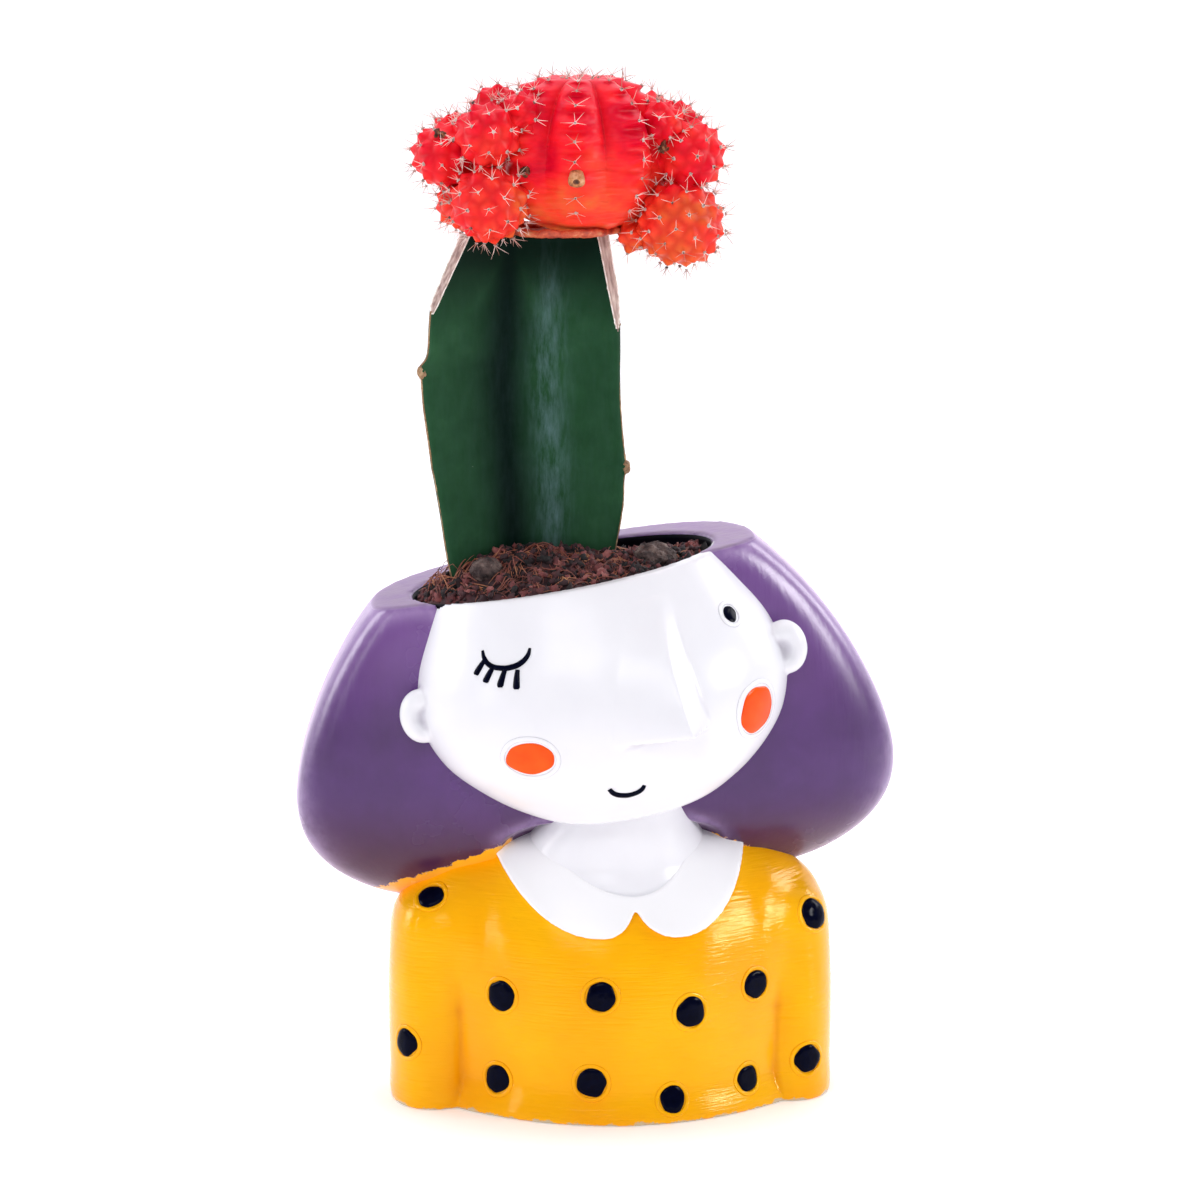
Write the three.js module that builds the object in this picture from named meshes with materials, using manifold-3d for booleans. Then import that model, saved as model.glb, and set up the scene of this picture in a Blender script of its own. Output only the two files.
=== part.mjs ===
// A potted moon cactus, in millimetres, +Z up, front towards -Y, origin at the centre of the pot's flat base.
// A red scion with its offsets is grafted on a green three-winged stem, which stands in potting mix.
// The pot is one hollow resin casting: the bust of a doll with bobbed hair, its head open at the top.
import * as THREE from "three";
import { mergeVertices } from "three/addons/utils/BufferGeometryUtils.js";
import { ConvexGeometry } from "three/addons/geometries/ConvexGeometry.js";
import Module from "manifold-3d";

const wasm = await Module();
wasm.setup();

const DEG = Math.PI / 180;
const GAP = 0.3; // between pieces that rest on each other

// ---- Driving dimensions ----

// The head leans to its right, and the hair follows it less. Heights in the head are from its centre.
const HEAD_AT = new THREE.Vector3(-2, 0, 85.5);
const HEAD_LEAN = -10 * DEG;
const HAIR_AT = new THREE.Vector3(-2.4, 0, 62.8);
const HAIR_LEAN = -4.5 * DEG;
const RIM_RISE = 23;

// Rings of each rounded form, from its lowest point to its highest: half width, depth to the
// front and to the back, height, and shifts of the ring's centre in x and y.
const FACE_RINGS = [
  { half: 0, front: 0, back: 0, z: -26.8, y: -15, x: 1 },
  { half: 14, front: 9.6, back: 9, z: -25.6, y: -14, x: 1.2 },
  { half: 23, front: 16.5, back: 16, z: -22, y: -11, x: 1.4 },
  { half: 30.6, front: 22.6, back: 20, z: -16.4, y: -8.6, x: 1.2 },
  { half: 36, front: 25.4, back: 22, z: -9.6, y: -7.8, x: 0.6 },
  { half: 38.4, front: 26.2, back: 22, z: -1, y: -7.4, x: 0 },
  { half: 37.2, front: 25, back: 22, z: 8, y: -6.2, x: -0.6 },
  { half: 34, front: 22.6, back: 22, z: 16.5, y: -4.2, x: -1.4 },
  { half: 31, front: 20.6, back: 22, z: 24, y: -1.8, x: -2 },
  { half: 26, front: 17, back: 18, z: 31, y: 0, x: -3 },
  { half: 0, front: 0, back: 0, z: 35, y: 1, x: -3 },
];
const HAIR_RINGS = [
  { half: 0, front: 0, back: 0, z: -20, y: 10 },
  { half: 28, front: 5, back: 15, z: -21.6, y: 9 },
  { half: 42, front: 9.4, back: 24.4, z: -19.4, y: 7.2 },
  { half: 52.4, front: 13, back: 30.6, z: -14, y: 5.6 },
  { half: 58.6, front: 14.8, back: 34.6, z: -7, y: 4.8 },
  { half: 60.6, front: 15, back: 36.2, z: 1, y: 4.4 },
  { half: 59.2, front: 14.8, back: 36.5, z: 10, y: 4 },
  { half: 56, front: 14.2, back: 36, z: 19, y: 3.4 },
  { half: 51.2, front: 13.2, back: 34.8, z: 28.6, y: 2.4 },
  { half: 44.4, front: 11.4, back: 33, z: 38.6, y: 1.2 },
  { half: 35.4, front: 8.8, back: 30, z: 47.6, y: 0.2, x: 0.6 },
  { half: 24, front: 6, back: 22, z: 54, y: 0, x: 1.4 },
  { half: 0, front: 0, back: 0, z: 57, y: 2, x: 1.4 },
];
const CHEST_RINGS = [
  { half: 0, front: 0, back: 0, z: -7, y: 0, x: 1.2 },
  { half: 40.6, front: 26, back: 19.6, z: -3, y: 0, x: 1.2 },
  { half: 41, front: 26.8, back: 20.4, z: 7, y: 0, x: 1.2 },
  { half: 41.4, front: 27.2, back: 21.4, z: 17, y: 0, x: 1.2 },
  { half: 41.8, front: 26.6, back: 21.6, z: 27, y: 0, x: 1 },
  { half: 42.8, front: 24.6, back: 20.8, z: 35.5, y: 0, x: 0.6 },
  { half: 41.6, front: 21, back: 18.6, z: 42.6, y: 0.4, x: 0.6 },
  { half: 35.6, front: 17.4, back: 15.6, z: 48.2, y: 0.8, x: 0.6 },
  { half: 26.6, front: 13.6, back: 12, z: 52.6, y: 1.4, x: 0.8 },
  { half: 14, front: 8, back: 7, z: 55.2, y: 2, x: 1.2 },
  { half: 0, front: 0, back: 0, z: 56, y: 2, x: 1.4 },
];
const ARM_RINGS = [
  { half: 0, front: 0, back: 0, z: -5, y: -1 },
  { half: 8, front: 11.6, back: 12, z: -2, y: -1 },
  { half: 8.8, front: 12.8, back: 12.6, z: 8, y: -0.6 },
  { half: 9, front: 13, back: 13, z: 19, y: -0.2 },
  { half: 8.6, front: 11.4, back: 12.4, z: 30, y: 0 },
  { half: 6.6, front: 7.6, back: 9, z: 39, y: 0.4 },
  { half: 0, front: 0, back: 0, z: 43, y: 0.8 },
];
const ARM_AT = 36; // each side of the middle

// The hollow in the head. Its mouth is level with the rim.
const CAVITY_RINGS = [
  { half: 0, front: 0, back: 0, z: -17, x: 0, y: 2.4 },
  { half: 20, front: 14.4, back: 14.4, z: -17, x: 0, y: 2.4 },
  { half: 24, front: 17.6, back: 17.6, z: -13, x: -0.4, y: 2.4 },
  { half: 27.6, front: 20.4, back: 20.4, z: 5, x: -2, y: 2.4 },
  { half: 30.7, front: 22.6, back: 22.6, z: 23, x: -3.6, y: 2.4 },
  { half: 31.4, front: 23, back: 23, z: 31, x: -4.2, y: 2.4 },
  { half: 0, front: 0, back: 0, z: 33, x: -4.2, y: 2.4 },
];

// How square each form's plan is: powers of the cosine and of the sine, in front and behind.
const ROUND = { front: [1, 1], back: [1, 1] };
const HAIR_PLAN = { front: [0.8, 0.6], back: [0.8, 0.8] };
const CHEST_PLAN = { front: [1, 1.8], back: [0.8, 0.8] };
const ARM_PLAN = { front: [0.9, 0.9], back: [0.9, 0.9] };

const NECK = { x: 1.6, y: -3, radius: 13, foot: 15.6, from: 46, to: 72 };
const COLLAR_PROUD = 1.1;
const EAR = { u: 38.2, y: -12, v: 1.4, half: 4.4, depth: 4.4, tall: 5.8, dimple: 2.4 };
const CHEEK = { half: 5.4, tall: 4.2, proud: 0.45, sides: 12 };
const CHEEKS = [
  [-17.8, -7],
  [28.3, -7.6],
];
const EYE = { u: 26.3, v: 12, radius: 2.2, proud: 0.4, sides: 8 };
const NOSE = { topU: 14.6, topV: 15.5, tipU: 13.6, tipV: -6.6, proud: 7.2, leftU: 2.6, rightU: 17.6 };

// Raised dots of the sweater: where each one sits, seen from the front and from the back.
const DOT = { radius: 2.8, proud: 0.5, sides: 8 };
const FRONT_DOTS = [
  [-36.9, 43.6],
  [-42.2, 13.3],
  [-23.6, 25],
  [-4.3, 26.4],
  [13.8, 22.3],
  [27.6, 25.9],
  [39.9, 38.5],
  [-24.4, 7.6],
  [-6.3, 8.8],
  [10.1, 4.8],
  [25.5, 6.6],
  [38.7, 8.8],
];
const BACK_DOTS = [
  [-39, 11],
  [-20, 8],
  [0, 7.4],
  [20, 8],
  [39, 11],
  [-29, 27],
  [-9.6, 25.4],
  [9.6, 25.4],
  [29, 27],
];

// Potting mix, its two lumps of pumice, and the hole that the stem stands in.
const SOIL = { belowRim: 2.2, slope: 1.6, mottle: 0.6 };
const HEAP = { u: -14, y: -2.5, half: 24, deep: 11, tall: 8 }; // in front of the stem
const PUMICE = [
  { name: "pumice_lump_left", u: -19, y: -8.6, size: 2.9, proud: 0.9, seed: 3 },
  { name: "pumice_lump_right", u: 14.6, y: -7.6, size: 3.9, proud: -0.4, seed: 8 },
];

// The stem's wings: where each one points, and how far it reaches from the core at each height.
const STEM_AT = new THREE.Vector3(-16.2, 5.5, 0);
const WINGS = [207 * DEG, 333 * DEG, 90 * DEG];
const WING_EDGE = 2.4; // thickness of a wing's rim
const WAIST = 0.3; // how far a side's middle is drawn in, as a share of the reach
const STEM_RINGS = [
  { z: 84, reach: [10.5, 9, 10], x: 1.5 },
  { z: 98, reach: [15.6, 14.4, 14.4], x: 1 },
  { z: 108, reach: [18.6, 17.6, 17], x: 0.6 },
  { z: 120, reach: [20.2, 20.4, 18.4], x: 0.2 },
  { z: 128.5, reach: [21.4, 22.2, 19], x: -0.3 },
  { z: 132, reach: [21.9, 21, 19.2], x: -0.3 },
  { z: 141, reach: [23, 20.8, 19.8], x: -0.6 },
  { z: 148.6, reach: [23.9, 20.5, 18.8], x: -0.6 },
  { z: 152, reach: [22.1, 20.3, 18.9], x: -0.4 },
  { z: 163, reach: [21.7, 19.9, 19.2], x: 0 },
  { z: 174.8, reach: [21, 19.4, 19.2], x: 0.8 },
];
const BEVELS = [
  { wing: 0, from: 160, reach: 21.8, inward: 7.4 },
  { wing: 1, from: 157, reach: 20.1, inward: 3.4 },
  { wing: 2, from: 161, reach: 19.2, inward: 6.5 },
];

// The scion: eight ribs, and offsets that crowd its sides. Each offset is given by its centre
// from the scion's centre and its radius.
const SCION_AT = new THREE.Vector3(-5.6, 3, 190.4);
const SCION = { ribs: 8, half: 17.8, up: 16, down: 15.6, groove: 3, rows: 7, bump: 0.4 };
const SCION_TURN = -98 * DEG; // turns one rib to the front
const OFFSETS = [
  { x: -19, y: -11, z: 4.6, r: 6.4 },
  { x: -27, y: -4, z: 0, r: 6.4 },
  { x: -18.8, y: -12.4, z: -8.6, r: 7.8 },
  { x: -16, y: 6, z: 7, r: 5.6 },
  { x: -24.6, y: 3, z: 2.6, r: 4.8 },
  { x: -23.4, y: -2, z: -9.8, r: 4.8 },
  { x: 21.4, y: -4, z: 0.2, r: 6.9 },
  { x: 19.2, y: -7, z: -14.2, r: 8.6 },
  { x: 14, y: 5, z: 5, r: 6.2 },
  { x: 10.4, y: -3, z: -16, r: 3.2 },
  { x: -13.4, y: 16.6, z: -4, r: 7.4 },
  { x: 4.6, y: 19.4, z: -1, r: 6.6 },
  { x: 17.6, y: 11.6, z: -6.4, r: 6.8 },
];
const OFFSET = { ribs: 7, groove: 0.2, rows: 4, bump: 0.07 }; // depths as shares of the radius
const SPINE = { length: 3.6, root: 1.4, radius: 0.34, share: 0.56, seed: 5 };

// ---- Shared ways of making solids ----

function asSolid(geometry) {
  const bare = geometry.clone();
  for (const name of Object.keys(bare.attributes)) {
    if (name !== "position") bare.deleteAttribute(name);
  }
  const merged = mergeVertices(bare, 1e-4);
  const mesh = new wasm.Mesh({
    numProp: 3,
    vertProperties: new Float32Array(merged.getAttribute("position").array),
    triVerts: new Uint32Array(merged.getIndex().array),
  });
  return new wasm.Manifold(mesh);
}

function asGeometry(solid) {
  const mesh = solid.getMesh();
  const geometry = new THREE.BufferGeometry();
  geometry.setAttribute("position", new THREE.BufferAttribute(mesh.vertProperties, 3));
  geometry.setIndex(new THREE.BufferAttribute(mesh.triVerts, 1));
  geometry.computeVertexNormals();
  return geometry;
}

function joined(solids) {
  return solids.reduce((a, b) => a.add(b));
}

// The largest body of a solid, without scraps or sealed hollows.
function mainBody(solid) {
  return solid.decompose().reduce((a, b) => (a.volume() > b.volume() ? a : b));
}

// A sphere's grid of vertices, each moved to where place(turn, rise) says: turn is the angle
// about Z, and rise runs from 0 at the lowest point to 1 at the highest.
function roundedForm(around, up, place) {
  const geometry = new THREE.SphereGeometry(1, around, up);
  const position = geometry.getAttribute("position");
  for (let row = 0; row <= up; row++) {
    for (let column = 0; column <= around; column++) {
      const turn = Math.PI + (2 * Math.PI * (column % around)) / around;
      const p = place(turn, 1 - row / up);
      position.setXYZ(row * (around + 1) + column, p.x, p.y, p.z);
    }
  }
  return geometry;
}

// The ring at a share of the way up a list of rings, on a smooth curve through them.
function ringAt(rings, rise) {
  const along = rise * (rings.length - 1);
  const i = Math.min(Math.floor(along), rings.length - 2);
  const s = along - i;
  const last = rings.length - 1;
  const near = [i - 1, i, i + 1, i + 2].map((k) => rings[Math.max(0, Math.min(k, last))]);
  const ring = {};
  for (const key of ["half", "front", "back", "x", "y", "z"]) {
    const [a, b, c, d] = near.map((r) => r[key] ?? 0);
    const bend = 2 * a - 5 * b + 4 * c - d + s * (3 * (b - c) + d - a);
    ring[key] = b + 0.5 * s * (c - a + s * bend);
  }
  return ring;
}

function ringPoint(ring, turn, plan) {
  const c = Math.cos(turn);
  const s = Math.sin(turn);
  const [across, deep] = s < 0 ? plan.front : plan.back;
  const depth = s < 0 ? ring.front : ring.back;
  return new THREE.Vector3(
    ring.x + ring.half * Math.sign(c) * Math.abs(c) ** across,
    ring.y + depth * Math.sign(s) * Math.abs(s) ** deep,
    ring.z,
  );
}

function ringForm(rings, plan, around, up) {
  return roundedForm(around, up, (turn, rise) => ringPoint(ringAt(rings, rise), turn, plan));
}

// The same rings, grown by a distance all round, or shrunk where it is negative.
function grownRings(rings, by) {
  return rings.map((r) => ({
    ...r,
    half: r.half && r.half + by,
    front: r.front && r.front + by,
    back: r.back && r.back + by,
  }));
}

function placed(geometry, at, lean = 0) {
  return geometry.clone().rotateY(lean).translate(at.x, at.y, at.z);
}

function block(width, depth, height, at, lean = 0) {
  return asSolid(placed(new THREE.BoxGeometry(width, depth, height), at, lean));
}

// Where a line that runs front to back meets a form, and which way the form faces there.
function surfaceAt(geometry, x, z, fromFront = true) {
  const start = new THREE.Vector3(x, fromFront ? -200 : 200, z);
  const way = new THREE.Vector3(0, fromFront ? 1 : -1, 0);
  const [hit] = new THREE.Raycaster(start, way).intersectObject(new THREE.Mesh(geometry));
  return { point: hit.point, normal: hit.face.normal };
}

// A low dome that lies on a surface, its back sunk in.
function button({ point, normal }, half, tall, proud, sides, lean = 0) {
  const sunk = 1.6;
  const dome = new THREE.SphereGeometry(1, sides, 6).rotateX(90 * DEG).scale(half, tall, sunk);
  const turned = new THREE.Object3D();
  turned.up.set(Math.sin(lean), 0, Math.cos(lean));
  turned.lookAt(normal);
  const at = point.clone().addScaledVector(normal, proud - sunk);
  return asSolid(dome.applyQuaternion(turned.quaternion).translate(at.x, at.y, at.z));
}

function random(seed) {
  let state = seed;
  return () => {
    state = (state * 16807) % 2147483647;
    return state / 2147483647;
  };
}

// ---- The pot ----

function headPoint(u, y, v) {
  return new THREE.Vector3(u, y, v).applyAxisAngle(new THREE.Vector3(0, 1, 0), HEAD_LEAN).add(HEAD_AT);
}

function onFace(face, u, v) {
  const p = headPoint(u, 0, v);
  return surfaceAt(face, p.x, p.z);
}

// The nose is a wedge, with its ridge nearer to the doll's left side.
function nose(face) {
  const corner = (u, v, proud) => onFace(face, u, v).point.sub(new THREE.Vector3(0, proud, 0));
  return asSolid(
    new ConvexGeometry([
      corner(NOSE.topU, NOSE.topV, 0),
      corner(NOSE.tipU, NOSE.tipV, NOSE.proud),
      corner(NOSE.leftU, NOSE.tipV - 1.4, 0),
      corner(NOSE.rightU, NOSE.tipV - 0.6, 0),
      corner(NOSE.tipU, NOSE.tipV, -6),
    ]),
  );
}

function ear(side) {
  const shell = new THREE.SphereGeometry(1, 12, 8).scale(EAR.half, EAR.depth, EAR.tall);
  const hollow = new THREE.SphereGeometry(EAR.dimple, 8, 6).scale(0.8, 1, 1.2);
  shell.translate(side * EAR.u, EAR.y, EAR.v);
  hollow.translate(side * (EAR.u - 0.3), EAR.y - EAR.depth - 0.6, EAR.v);
  return asSolid(placed(shell, HEAD_AT, HEAD_LEAN)).subtract(asSolid(placed(hollow, HEAD_AT, HEAD_LEAN)));
}

// The round-lobed collar: the chest, grown a little, where it lies behind the collar's outline.
function collar() {
  const outline = new THREE.Shape();
  outline.moveTo(-27, 60);
  outline.bezierCurveTo(-23.5, 47, -15, 37.4, -4, 37.4);
  outline.bezierCurveTo(0, 37.4, 1.8, 39.6, 3, 42.4);
  outline.bezierCurveTo(4.8, 39.4, 8, 37.2, 12.2, 37.2);
  outline.bezierCurveTo(21, 37.2, 26.5, 46, 28.4, 60);
  outline.closePath();
  const cutter = new THREE.ExtrudeGeometry(outline, { depth: 60, bevelEnabled: false, curveSegments: 5 });
  const grown = grownRings(CHEST_RINGS, COLLAR_PROUD).map((r) => ({ ...r, z: r.z + COLLAR_PROUD }));
  return asSolid(ringForm(grown, CHEST_PLAN, 40, 16)).intersect(asSolid(cutter.rotateX(90 * DEG)));
}

function neck() {
  const tall = NECK.to - NECK.from;
  const tube = new THREE.CylinderGeometry(NECK.radius, NECK.foot, tall, 20).rotateX(90 * DEG);
  return asSolid(tube.translate(NECK.x, NECK.y, NECK.from + tall / 2));
}

function cavity(clearance = 0) {
  const rings = grownRings(CAVITY_RINGS, -clearance);
  const form = ringForm(rings, ROUND, 36, 12).translate(0, 0, clearance);
  return asSolid(placed(form, HEAD_AT, HEAD_LEAN));
}

function sweater() {
  const arms = [-1, 1].map((side) => {
    const arm = ringForm(ARM_RINGS, ARM_PLAN, 18, 10);
    return asSolid(arm.translate(side * ARM_AT, 0, 0));
  });
  const plain = joined([asSolid(ringForm(CHEST_RINGS, CHEST_PLAN, 40, 16)), ...arms]);
  const skin = asGeometry(plain);
  const dots = [
    ...FRONT_DOTS.map(([x, z]) => surfaceAt(skin, x, z)),
    ...BACK_DOTS.map(([x, z]) => surfaceAt(skin, x, z, false)),
  ].map((spot) => button(spot, DOT.radius, DOT.radius, DOT.proud, DOT.sides));
  return joined([plain, ...dots]);
}

function head() {
  const face = placed(ringForm(FACE_RINGS, ROUND, 40, 18), HEAD_AT, HEAD_LEAN);
  const hair = placed(ringForm(HAIR_RINGS, HAIR_PLAN, 40, 18), HAIR_AT, HAIR_LEAN);
  const cheeks = CHEEKS.map(([u, v]) =>
    button(onFace(face, u, v), CHEEK.half, CHEEK.tall, CHEEK.proud, CHEEK.sides, HEAD_LEAN),
  );
  const eye = button(onFace(face, EYE.u, EYE.v), EYE.radius, EYE.radius, EYE.proud, EYE.sides);
  const whole = joined([asSolid(face), asSolid(hair), nose(face), ear(-1), ear(1), eye, ...cheeks]);
  return whole.subtract(block(200, 200, 60, headPoint(0, 0, RIM_RISE + 30), HEAD_LEAN));
}

function pot() {
  const underground = block(200, 200, 40, new THREE.Vector3(0, 0, -20));
  return mainBody(joined([head(), sweater(), collar(), neck()]).subtract(cavity()).subtract(underground));
}

// ---- The stem ----

// A side of the stem runs from one wing's rim to the next, on a curve drawn in towards the core.
function stemOutline(reach) {
  const rims = WINGS.map((angle, i) => {
    const out = new THREE.Vector2(Math.cos(angle), Math.sin(angle));
    const across = new THREE.Vector2(-out.y, out.x).multiplyScalar(WING_EDGE / 2);
    const tip = out.multiplyScalar(reach[i]);
    return { before: tip.clone().sub(across), tip, after: tip.clone().add(across) };
  });
  const outline = new THREE.Path();
  outline.moveTo(rims[0].before.x, rims[0].before.y);
  for (const i of [0, 1, 2]) {
    const from = rims[i];
    const to = rims[(i + 1) % 3];
    const middle = from.tip.clone().add(to.tip).multiplyScalar(0.5 * WAIST);
    outline.lineTo(from.after.x, from.after.y);
    outline.quadraticCurveTo(middle.x, middle.y, to.before.x, to.before.y);
  }
  return outline.getPoints(8).slice(0, -1);
}

function stemForm(grow = 0) {
  const levels = [STEM_RINGS[0], ...STEM_RINGS, STEM_RINGS.at(-1)];
  const count = stemOutline(STEM_RINGS[0].reach).length;
  return roundedForm(count, levels.length - 1, (turn, rise) => {
    const level = Math.round(rise * (levels.length - 1));
    const ring = levels[level];
    const reach = ring.reach.map((r) => r + grow);
    const closed = level === 0 || level === levels.length - 1;
    const k = (Math.round((turn / (2 * Math.PI)) * count) + count) % count;
    const p = closed ? new THREE.Vector2() : stemOutline(reach)[k];
    p.addScaledVector(p.clone().normalize(), closed ? 0 : grow);
    const z = ring === STEM_RINGS[0] ? ring.z - grow : ring.z;
    return new THREE.Vector3(STEM_AT.x + ring.x + p.x, STEM_AT.y + p.y, z);
  });
}

// Near the graft each wing is trimmed back with a slanting cut.
function stem() {
  const top = STEM_RINGS.at(-1).z;
  const cuts = BEVELS.map(({ wing, from, reach, inward }) => {
    const slope = Math.atan2(inward, top - from);
    const cutter = new THREE.BoxGeometry(20, 30, 60).translate(10, 0, 0).rotateY(-slope);
    const foot = new THREE.Vector3(reach, 0, 0).applyAxisAngle(new THREE.Vector3(0, 0, 1), WINGS[wing]);
    foot.add(STEM_AT);
    return asSolid(cutter.rotateZ(WINGS[wing]).translate(foot.x, foot.y, from));
  });
  return mainBody(cuts.reduce((a, cut) => a.subtract(cut), asSolid(stemForm())));
}

// ---- Potting mix and pumice ----

// The mix is heaped in front of the stem, and falls away towards the wall and the back.
function soilHeight(u, y) {
  const mouth = CAVITY_RINGS.find((r) => r.z === RIM_RISE);
  const out = Math.hypot((u - mouth.x) / mouth.half, (y - mouth.y) / mouth.front);
  const heap = Math.exp(-(((u - HEAP.u) / HEAP.half) ** 2) - ((y - HEAP.y) / HEAP.deep) ** 2);
  const edge = Math.max(0, 1 - out ** 6);
  const lumps = Math.sin(u * 0.9 + 1.3 * Math.sin(y * 0.5)) * Math.cos(y * 0.8 + 0.7 * Math.sin(u * 0.4));
  const level = RIM_RISE - SOIL.belowRim - (SOIL.slope * y) / mouth.back;
  return level + HEAP.tall * heap * edge + SOIL.mottle * lumps;
}

function soil(lumps) {
  const top = roundedForm(28, 14, (turn, rise) => {
    const out = Math.min(1, rise < 0.5 ? rise * 14 : (1 - rise) * 2);
    const u = 40 * out * Math.cos(turn) - 3.6;
    const y = 32 * out * Math.sin(turn) + 2.4;
    return new THREE.Vector3(u, y, rise < 0.5 ? -30 : soilHeight(u, y));
  });
  const filled = cavity(GAP).intersect(asSolid(placed(top, HEAD_AT, HEAD_LEAN)));
  return mainBody([asSolid(stemForm(GAP)), ...lumps].reduce((a, b) => a.subtract(b), filled));
}

// A lump of pumice: a pebble with flats, its underside bedded in the mix.
function pumice({ u, y, size, proud, seed }, clearance = 0) {
  const next = random(seed);
  const flats = Array.from({ length: 9 }, () => {
    return new THREE.Vector3(next() - 0.5, next() - 0.5, next() - 0.5).normalize();
  });
  const pebble = new THREE.IcosahedronGeometry(size, 2);
  const position = pebble.getAttribute("position");
  for (let i = 0; i < position.count; i++) {
    const way = new THREE.Vector3().fromBufferAttribute(position, i).normalize();
    const flat = Math.max(...flats.map((f) => way.dot(f)));
    const p = way.multiplyScalar(size * (1.06 - 0.16 * flat ** 3) + clearance);
    position.setXYZ(i, p.x * 1.12, p.y * 0.95, p.z * 0.86);
  }
  const at = headPoint(u, y, soilHeight(u, y) + proud);
  return asSolid(pebble.translate(at.x, at.y, at.z));
}

// ---- The scion and its offsets ----

// A ball with crests along its ribs, grooves between them, and a bump at each areole. Its
// underside is flat where it sits on something.
function ribbedBall({ ribs, half, up, down, groove, rows, bump, seat }, turn, rise) {
  const angle = (rise - 0.5) * Math.PI;
  const crest = Math.abs(Math.cos((turn * ribs) / 2)) ** 0.7;
  const wide = Math.cos(angle);
  const dip = groove * (1 - crest) * wide;
  const beads = bump * Math.cos(2 * Math.PI * (rise * rows - 0.5)) * crest * wide;
  const radius = Math.max(0, half * wide ** 0.82 - dip + beads);
  const crown = groove * 0.5 * Math.exp(-(((1 - rise) / 0.1) ** 2));
  const z = angle < 0 ? down * Math.sin(angle) : (up - 0.4 * dip) * Math.sin(angle) - crown;
  return new THREE.Vector3(radius * Math.cos(turn), radius * Math.sin(turn), Math.max(z, seat));
}

function needle(at, way, length) {
  const spine = new THREE.ConeGeometry(SPINE.radius, length + SPINE.root, 3, 1);
  spine.translate(0, (length - SPINE.root) / 2, 0);
  spine.applyQuaternion(new THREE.Quaternion().setFromUnitVectors(new THREE.Vector3(0, 1, 0), way));
  return asSolid(spine.translate(at.x, at.y, at.z));
}

// The areoles of a ball, on the crests of its ribs: where each one is and which way it faces.
function areoles(ball, centre, tilt, firstRow) {
  const found = [];
  for (let rib = 0; rib < ball.ribs; rib++) {
    for (let row = firstRow; row < ball.rows; row++) {
      const local = ribbedBall(ball, (rib * 2 * Math.PI) / ball.ribs, (row + 0.5) / ball.rows);
      const way = local.clone().normalize().applyQuaternion(tilt);
      found.push({ at: local.applyQuaternion(tilt).add(centre), way });
    }
  }
  return found;
}

function scion() {
  const next = random(SPINE.seed);
  const seat = STEM_RINGS.at(-1).z + GAP - SCION_AT.z;
  const body = { ...SCION, seat };
  const upright = new THREE.Quaternion().setFromAxisAngle(new THREE.Vector3(0, 0, 1), SCION_TURN);
  const bodyForm = roundedForm(5 * SCION.ribs, 14, (turn, rise) => ribbedBall(body, turn, rise));
  const parts = [asSolid(bodyForm.applyQuaternion(upright).translate(...SCION_AT.toArray()))];
  const spots = areoles(body, SCION_AT, upright, 2).map((a) => ({ ...a, inside: SCION_AT }));
  const balls = OFFSETS.map(({ x, y, z, r }) => ({ centre: new THREE.Vector3(x, y, z).add(SCION_AT), r }));
  for (const { centre, r } of balls) {
    const { ribs, rows, groove, bump } = OFFSET;
    const shape = { half: r, up: r * 0.95, down: r * 0.9, groove: r * groove, bump: r * bump, seat: -r };
    const out = centre.clone().sub(SCION_AT).normalize();
    out.z += 0.5;
    const tilt = new THREE.Quaternion().setFromUnitVectors(new THREE.Vector3(0, 0, 1), out.normalize());
    const form = roundedForm(2 * ribs, 7, (turn, rise) => ribbedBall({ ribs, rows, ...shape }, turn, rise));
    parts.push(asSolid(form.applyQuaternion(tilt).translate(centre.x, centre.y, centre.z)));
    spots.push(...areoles({ ribs, rows, ...shape }, centre, tilt, 1).map((a) => ({ ...a, inside: centre })));
  }
  const free = spots.filter(({ at, inside }) => {
    const inBody = inside !== SCION_AT && at.distanceTo(SCION_AT) < SCION.half - 1;
    const inOffset = balls.some((b) => b.centre !== inside && at.distanceTo(b.centre) < b.r);
    return !inBody && !inOffset && at.z > SCION_AT.z + seat + 2;
  });
  const needles = free.flatMap(({ at, way, inside }) => {
    const count = inside === SCION_AT ? 2 : Number(next() < SPINE.share);
    return Array.from({ length: count }, () => {
      const stray = new THREE.Vector3(next() - 0.5, next() - 0.5, next() - 0.5).multiplyScalar(1.3);
      return needle(at, stray.add(way).normalize(), SPINE.length * (0.7 + 0.5 * next()));
    });
  });
  return mainBody(joined([...parts, ...needles]));
}

// ---- The whole plant in its pot ----

function part(name, solid, color, roughness) {
  const mesh = new THREE.Mesh(asGeometry(solid), new THREE.MeshStandardMaterial({ color, roughness }));
  mesh.name = name;
  return mesh;
}

const pottedCactus = new THREE.Group();
pottedCactus.add(part("bust_pot", pot(), 0xf4f2f6, 0.3));
pottedCactus.add(part("potting_mix", soil(PUMICE.map((p) => pumice(p, GAP))), 0x3a2119, 0.95));
for (const lump of PUMICE) pottedCactus.add(part(lump.name, pumice(lump), 0x6a5148, 0.95));

const plant = new THREE.Group();
plant.add(part("grafted_stem", stem(), 0x1f4a2a, 0.5));
plant.add(part("scion_with_offsets", scion(), 0xe5283c, 0.45));
pottedCactus.add(plant);

export default pottedCactus;
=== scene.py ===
import math
import random

import bpy
import numpy as np
from mathutils import Euler, Matrix, Quaternion, Vector, noise
from mathutils.bvhtree import BVHTree
from mathutils.kdtree import KDTree


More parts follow.
